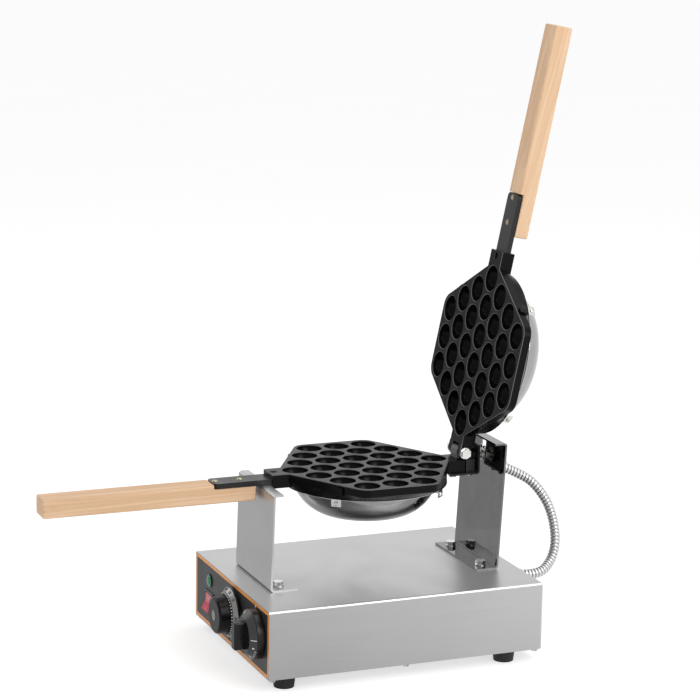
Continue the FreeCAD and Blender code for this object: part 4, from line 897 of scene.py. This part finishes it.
class PAN_OT_conduit(bpy.types.Operator):
    """Build the ribbed metal conduit on its route and finish its fittings"""
    bl_idname = "egg_pan.conduit"
    bl_label = "Conduit"

    # Route of the conduit's middle line, from the shaft's fitting down to the box
    route = (
        (0.00250, 0.16358, 0.19093),
        (0.00451, 0.18174, 0.18280),
        (0.0135, 0.1990, 0.1713),
        (0.0232, 0.2150, 0.1441),
        (0.0357, 0.2173, 0.1088),
        (0.0400, 0.2085, 0.0850),
        (0.0545, 0.1855, 0.0765),
        (0.0520, 0.1650, 0.0785),
    )
    resolution = 24
    # Places along one rib and the height of each, as shares of the pitch and of the rib
    rib_shape_shares = ((0.0, 0.0), (0.08, 0.05), (0.14, 0.70), (0.28, 1.0), (0.72, 1.0), (0.86, 0.70),
                        (0.92, 0.05))
    brass = (0.66, 0.52, 0.28, 1.0)

    def execute(self, context):
        sizes = context.scene.conduit_sizes
        look = context.scene.pan_finishes
        path = self.middle_line()
        length = sum((b - a).length for a, b in zip(path, path[1:]))
        made = build_piece("ribbed_conduit", lambda work: self.tube(work, path, length, sizes),
                           self.strip_steel(look), "root")
        for face in made.data.polygons:
            face.use_smooth = True
        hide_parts("conduit")
        paint("conduit_fitting conduit_gland",
              bright_metal("fitting_steel", look.conduit_steel, smooth=0.22, dull=0.36))
        paint("mains_gland gland_lock_nuts",
              bright_metal("gland_brass", self.brass, smooth=0.22, dull=0.34))
        return {"FINISHED"}

    # Bright ribs with painted shade in the grooves, told apart by the height stored on the mesh
    def strip_steel(self, look):
        made, tree, shader = new_material("conduit_interlocked_steel", Metallic=1.0)
        rise = add_node(tree, "ShaderNodeAttribute", {"attribute_name": "rib_height"}).outputs["Fac"]
        strip = mix_colour(tree, rise, tuple(look.conduit_groove_shade), tuple(look.conduit_steel))
        wiped = wiped_gloss(tree, smooth=0.08, dull=0.18, scale=60.0)
        set_inputs(tree, shader, {"Base Color": strip, "Roughness": wiped["Gloss"]})
        return made

    def middle_line(self):
        curve = bpy.data.curves.new("conduit_route", "CURVE")
        curve.dimensions = "3D"
        curve.resolution_u = self.resolution
        spline = curve.splines.new("NURBS")
        spline.points.add(len(self.route) - 1)
        for place, spot in zip(spline.points, self.route):
            place.co = (*spot, 1.0)
        spline.order_u = 3
        spline.use_endpoint_u = True
        line = curve_mesh(curve)
        path = [v.co.copy() for v in line.vertices]
        bpy.data.meshes.remove(line)
        return path

    def place_on(self, path, distance):
        for a, b in zip(path, path[1:]):
            run = (b - a).length
            if distance <= run:
                return a + (b - a) * (distance / run), (b - a).normalized()
            distance -= run
        return path[-1], (path[-1] - path[-2]).normalized()

    def tube(self, work, path, length, sizes):
        pitch = length / sizes.ribs
        stations = [((k + share) * pitch, rise) for k in range(sizes.ribs)
                    for share, rise in self.rib_shape_shares]
        stations.append((length, 0.0))
        rib_height = work.verts.layers.float.new("rib_height")
        rows = []
        for distance, rise in stations:
            place, way = self.place_on(path, distance)
            side = RIGHT.cross(way).normalized()
            radius = sizes.valley_radius + rise * (sizes.crest_radius - sizes.valley_radius)
            rows.append(add_row(work, axes_at(side, way.cross(side), way, place),
                                disc(radius, sizes.sides), 0.0))
            for corner in rows[-1]:
                corner[rib_height] = rise
        add_skin(work, rows, capped=True)


class PAN_OT_studio(bpy.types.Operator):
    """Make the pale floor, the even room light, the lamps and the camera"""
    bl_idname = "egg_pan.studio"
    bl_label = "Studio"

    floor_half = 60.0
    cloud_scale = 3.0
    cloud_shade = 0.97
    seen_share = 0.35
    seen_glow = 1.62
    mirrored_share = 0.80
    mirrored_glows = (0.55, 1.05)
    mirrored_span = (-0.10, 0.33)
    ceiling_heights = (0.35, 0.80)
    front_wall_span = (-0.35, 0.20)
    # Name, power setting, place and width of each lamp
    lamps = (
        ("key_light", "key_power", (1.7, 0.6, 1.4), 1.4),
        ("fill_light", "fill_power", (-1.6, -1.2, 1.3), 1.4),
        ("top_light", "fill_power", (0.2, 0.6, 2.2), 1.6),
    )
    lamps_aim = Vector((0.0, 0.0, 0.25))

    def execute(self, context):
        look = context.scene.studio_look
        context.scene.view_settings.view_transform = "Standard"
        self.camera(context, look)
        self.floor(look)
        self.room(context, look)
        for name, setting, place, width in self.lamps:
            self.lamp(name, getattr(look, setting), Vector(place), width)
        return {"FINISHED"}

    def camera(self, context, look):
        a, e, r = look.azimuth, look.elevation, look.roll
        back = Vector((math.sin(a) * math.cos(e), -math.cos(a) * math.cos(e), math.sin(e)))
        level = Vector((math.cos(a), math.sin(a), 0.0))
        up = back.cross(level)
        right = level * math.cos(r) + up * math.sin(r)
        upright = up * math.cos(r) - level * math.sin(r)
        data = bpy.data.cameras.new("studio_camera")
        data.lens = look.lens
        data.sensor_fit = "HORIZONTAL"
        camera = new_object("studio_camera", data)
        camera.matrix_world = axes_at(right, upright, back, Vector(look.target) + back * look.distance)
        context.scene.camera = camera

    # Masks of the rays that see a glow at all, and of those that come from a reflection
    def seen(self, tree):
        path = add_node(tree, "ShaderNodeLightPath").outputs
        either = math_node(tree, "MAXIMUM", path["Is Camera Ray"], path["Is Glossy Ray"])
        return math_node(tree, "MAXIMUM", either, path["Is Transmission Ray"]), path["Is Glossy Ray"]

    def mix_into(self, tree, output, share, first, second):
        mixed = add_node(tree, "ShaderNodeMixShader", {},
                         {0: share, 1: first.outputs[0], 2: second.outputs[0]})
        add_node(tree, output, {}, {"Surface": mixed.outputs[0]})

    def floor(self, look):
        size = self.floor_half
        mesh = mesh_from("floor", lambda work: bmesh.ops.create_grid(
            work, x_segments=1, y_segments=1, size=size))
        floor = new_object("floor", mesh)
        made = bpy.data.materials.new("pale_floor")
        made.use_nodes = True
        tree = made.node_tree
        tree.nodes.clear()
        backdrop = tuple(look.backdrop)
        place = surface_place(tree)
        cloud = noise(tree, place, Scale=self.cloud_scale)
        colour = mix_colour(tree, cloud, backdrop, shaded(backdrop, self.cloud_shade))
        matt = add_node(tree, "ShaderNodeBsdfDiffuse", {}, {"Color": colour})
        seen, mirrored = self.seen(tree)
        along_y = split_axes(tree, place)["Y"]
        mirrored_glow = remap(tree, along_y, *self.mirrored_glows, *self.mirrored_span)
        strength = remap(tree, mirrored, self.seen_glow, mirrored_glow)
        glow = add_node(tree, "ShaderNodeEmission", {}, {"Color": backdrop, "Strength": strength})
        glowing = remap(tree, mirrored, self.seen_share, self.mirrored_share)
        share = math_node(tree, "MULTIPLY", seen, glowing)
        self.mix_into(tree, "ShaderNodeOutputMaterial", share, matt, glow)
        mesh.materials.append(made)

    def room(self, context, look):
        world = bpy.data.worlds.new("studio_room")
        world.use_nodes = True
        context.scene.world = world
        tree = world.node_tree
        tree.nodes.clear()
        backdrop = tuple(look.backdrop)
        soft = add_node(tree, "ShaderNodeBackground", {}, {"Color": backdrop, "Strength": look.room_light})
        seen, mirrored = self.seen(tree)
        way = split_axes(tree, surface_place(tree, "Generated"))
        overhead = remap(tree, way["Z"], 1.0, look.ceiling, *self.ceiling_heights)
        sideways = remap(tree, way["Y"], look.front_wall, 1.0, *self.front_wall_span)
        dimmed = math_node(tree, "SUBTRACT", 1.0, math_node(tree, "MULTIPLY", overhead, sideways))
        strength = math_node(tree, "SUBTRACT", 1.0, math_node(tree, "MULTIPLY", dimmed, mirrored))
        white = add_node(tree, "ShaderNodeBackground", {}, {"Color": backdrop, "Strength": strength})
        self.mix_into(tree, "ShaderNodeOutputWorld", seen, soft, white)

    def lamp(self, name, power, place, width):
        data = bpy.data.lights.new(name, "AREA")
        data.shape = "SQUARE"
        data.size = width
        data.energy = power
        lamp = new_object(name, data)
        lamp.location = place
        lamp.rotation_euler = (self.lamps_aim - place).to_track_quat("-Z", "Y").to_euler()


class PAN_PT_sidebar(bpy.types.Panel):
    """Sidebar list of the pan's pieces and finishes"""
    bl_idname = "PAN_PT_sidebar"
    bl_label = "Egg Waffle Pan"
    bl_space_type = "VIEW_3D"
    bl_region_type = "UI"
    bl_category = "Egg Waffle Pan"

    def draw(self, context):
        for name in STEPS:
            self.layout.operator("egg_pan." + name)
        for group in SETTINGS:
            holder = getattr(context.scene, group)
            box = self.layout.box()
            for key in holder.bl_rna.properties.keys():
                if key not in ("rna_type", "name"):
                    box.prop(holder, key)


STEPS = ("studio", "conduit", "control_box", "fasteners", "pans", "handles", "panel", "temperature_knob",
         "timer_knob")
SETTINGS = {"pan_finishes": PanFinishes, "control_finishes": ControlFinishes, "conduit_sizes": ConduitSizes,
            "studio_look": StudioLook}
CLASSES = (*SETTINGS.values(), PAN_OT_studio, PAN_OT_conduit, PAN_OT_control_box, PAN_OT_fasteners,
           PAN_OT_pans, PAN_OT_handles, PAN_OT_panel, PAN_OT_temperature_knob, PAN_OT_timer_knob,
           PAN_PT_sidebar)


def register():
    for made in CLASSES:
        bpy.utils.register_class(made)
    for name, made in SETTINGS.items():
        setattr(bpy.types.Scene, name, bpy.props.PointerProperty(type=made))


def unregister():
    for name in SETTINGS:
        delattr(bpy.types.Scene, name)
    for made in reversed(CLASSES):
        bpy.utils.unregister_class(made)


def main():
    register()
    for name in STEPS:
        getattr(bpy.ops.egg_pan, name)()


if __name__ == "__main__":
    main()
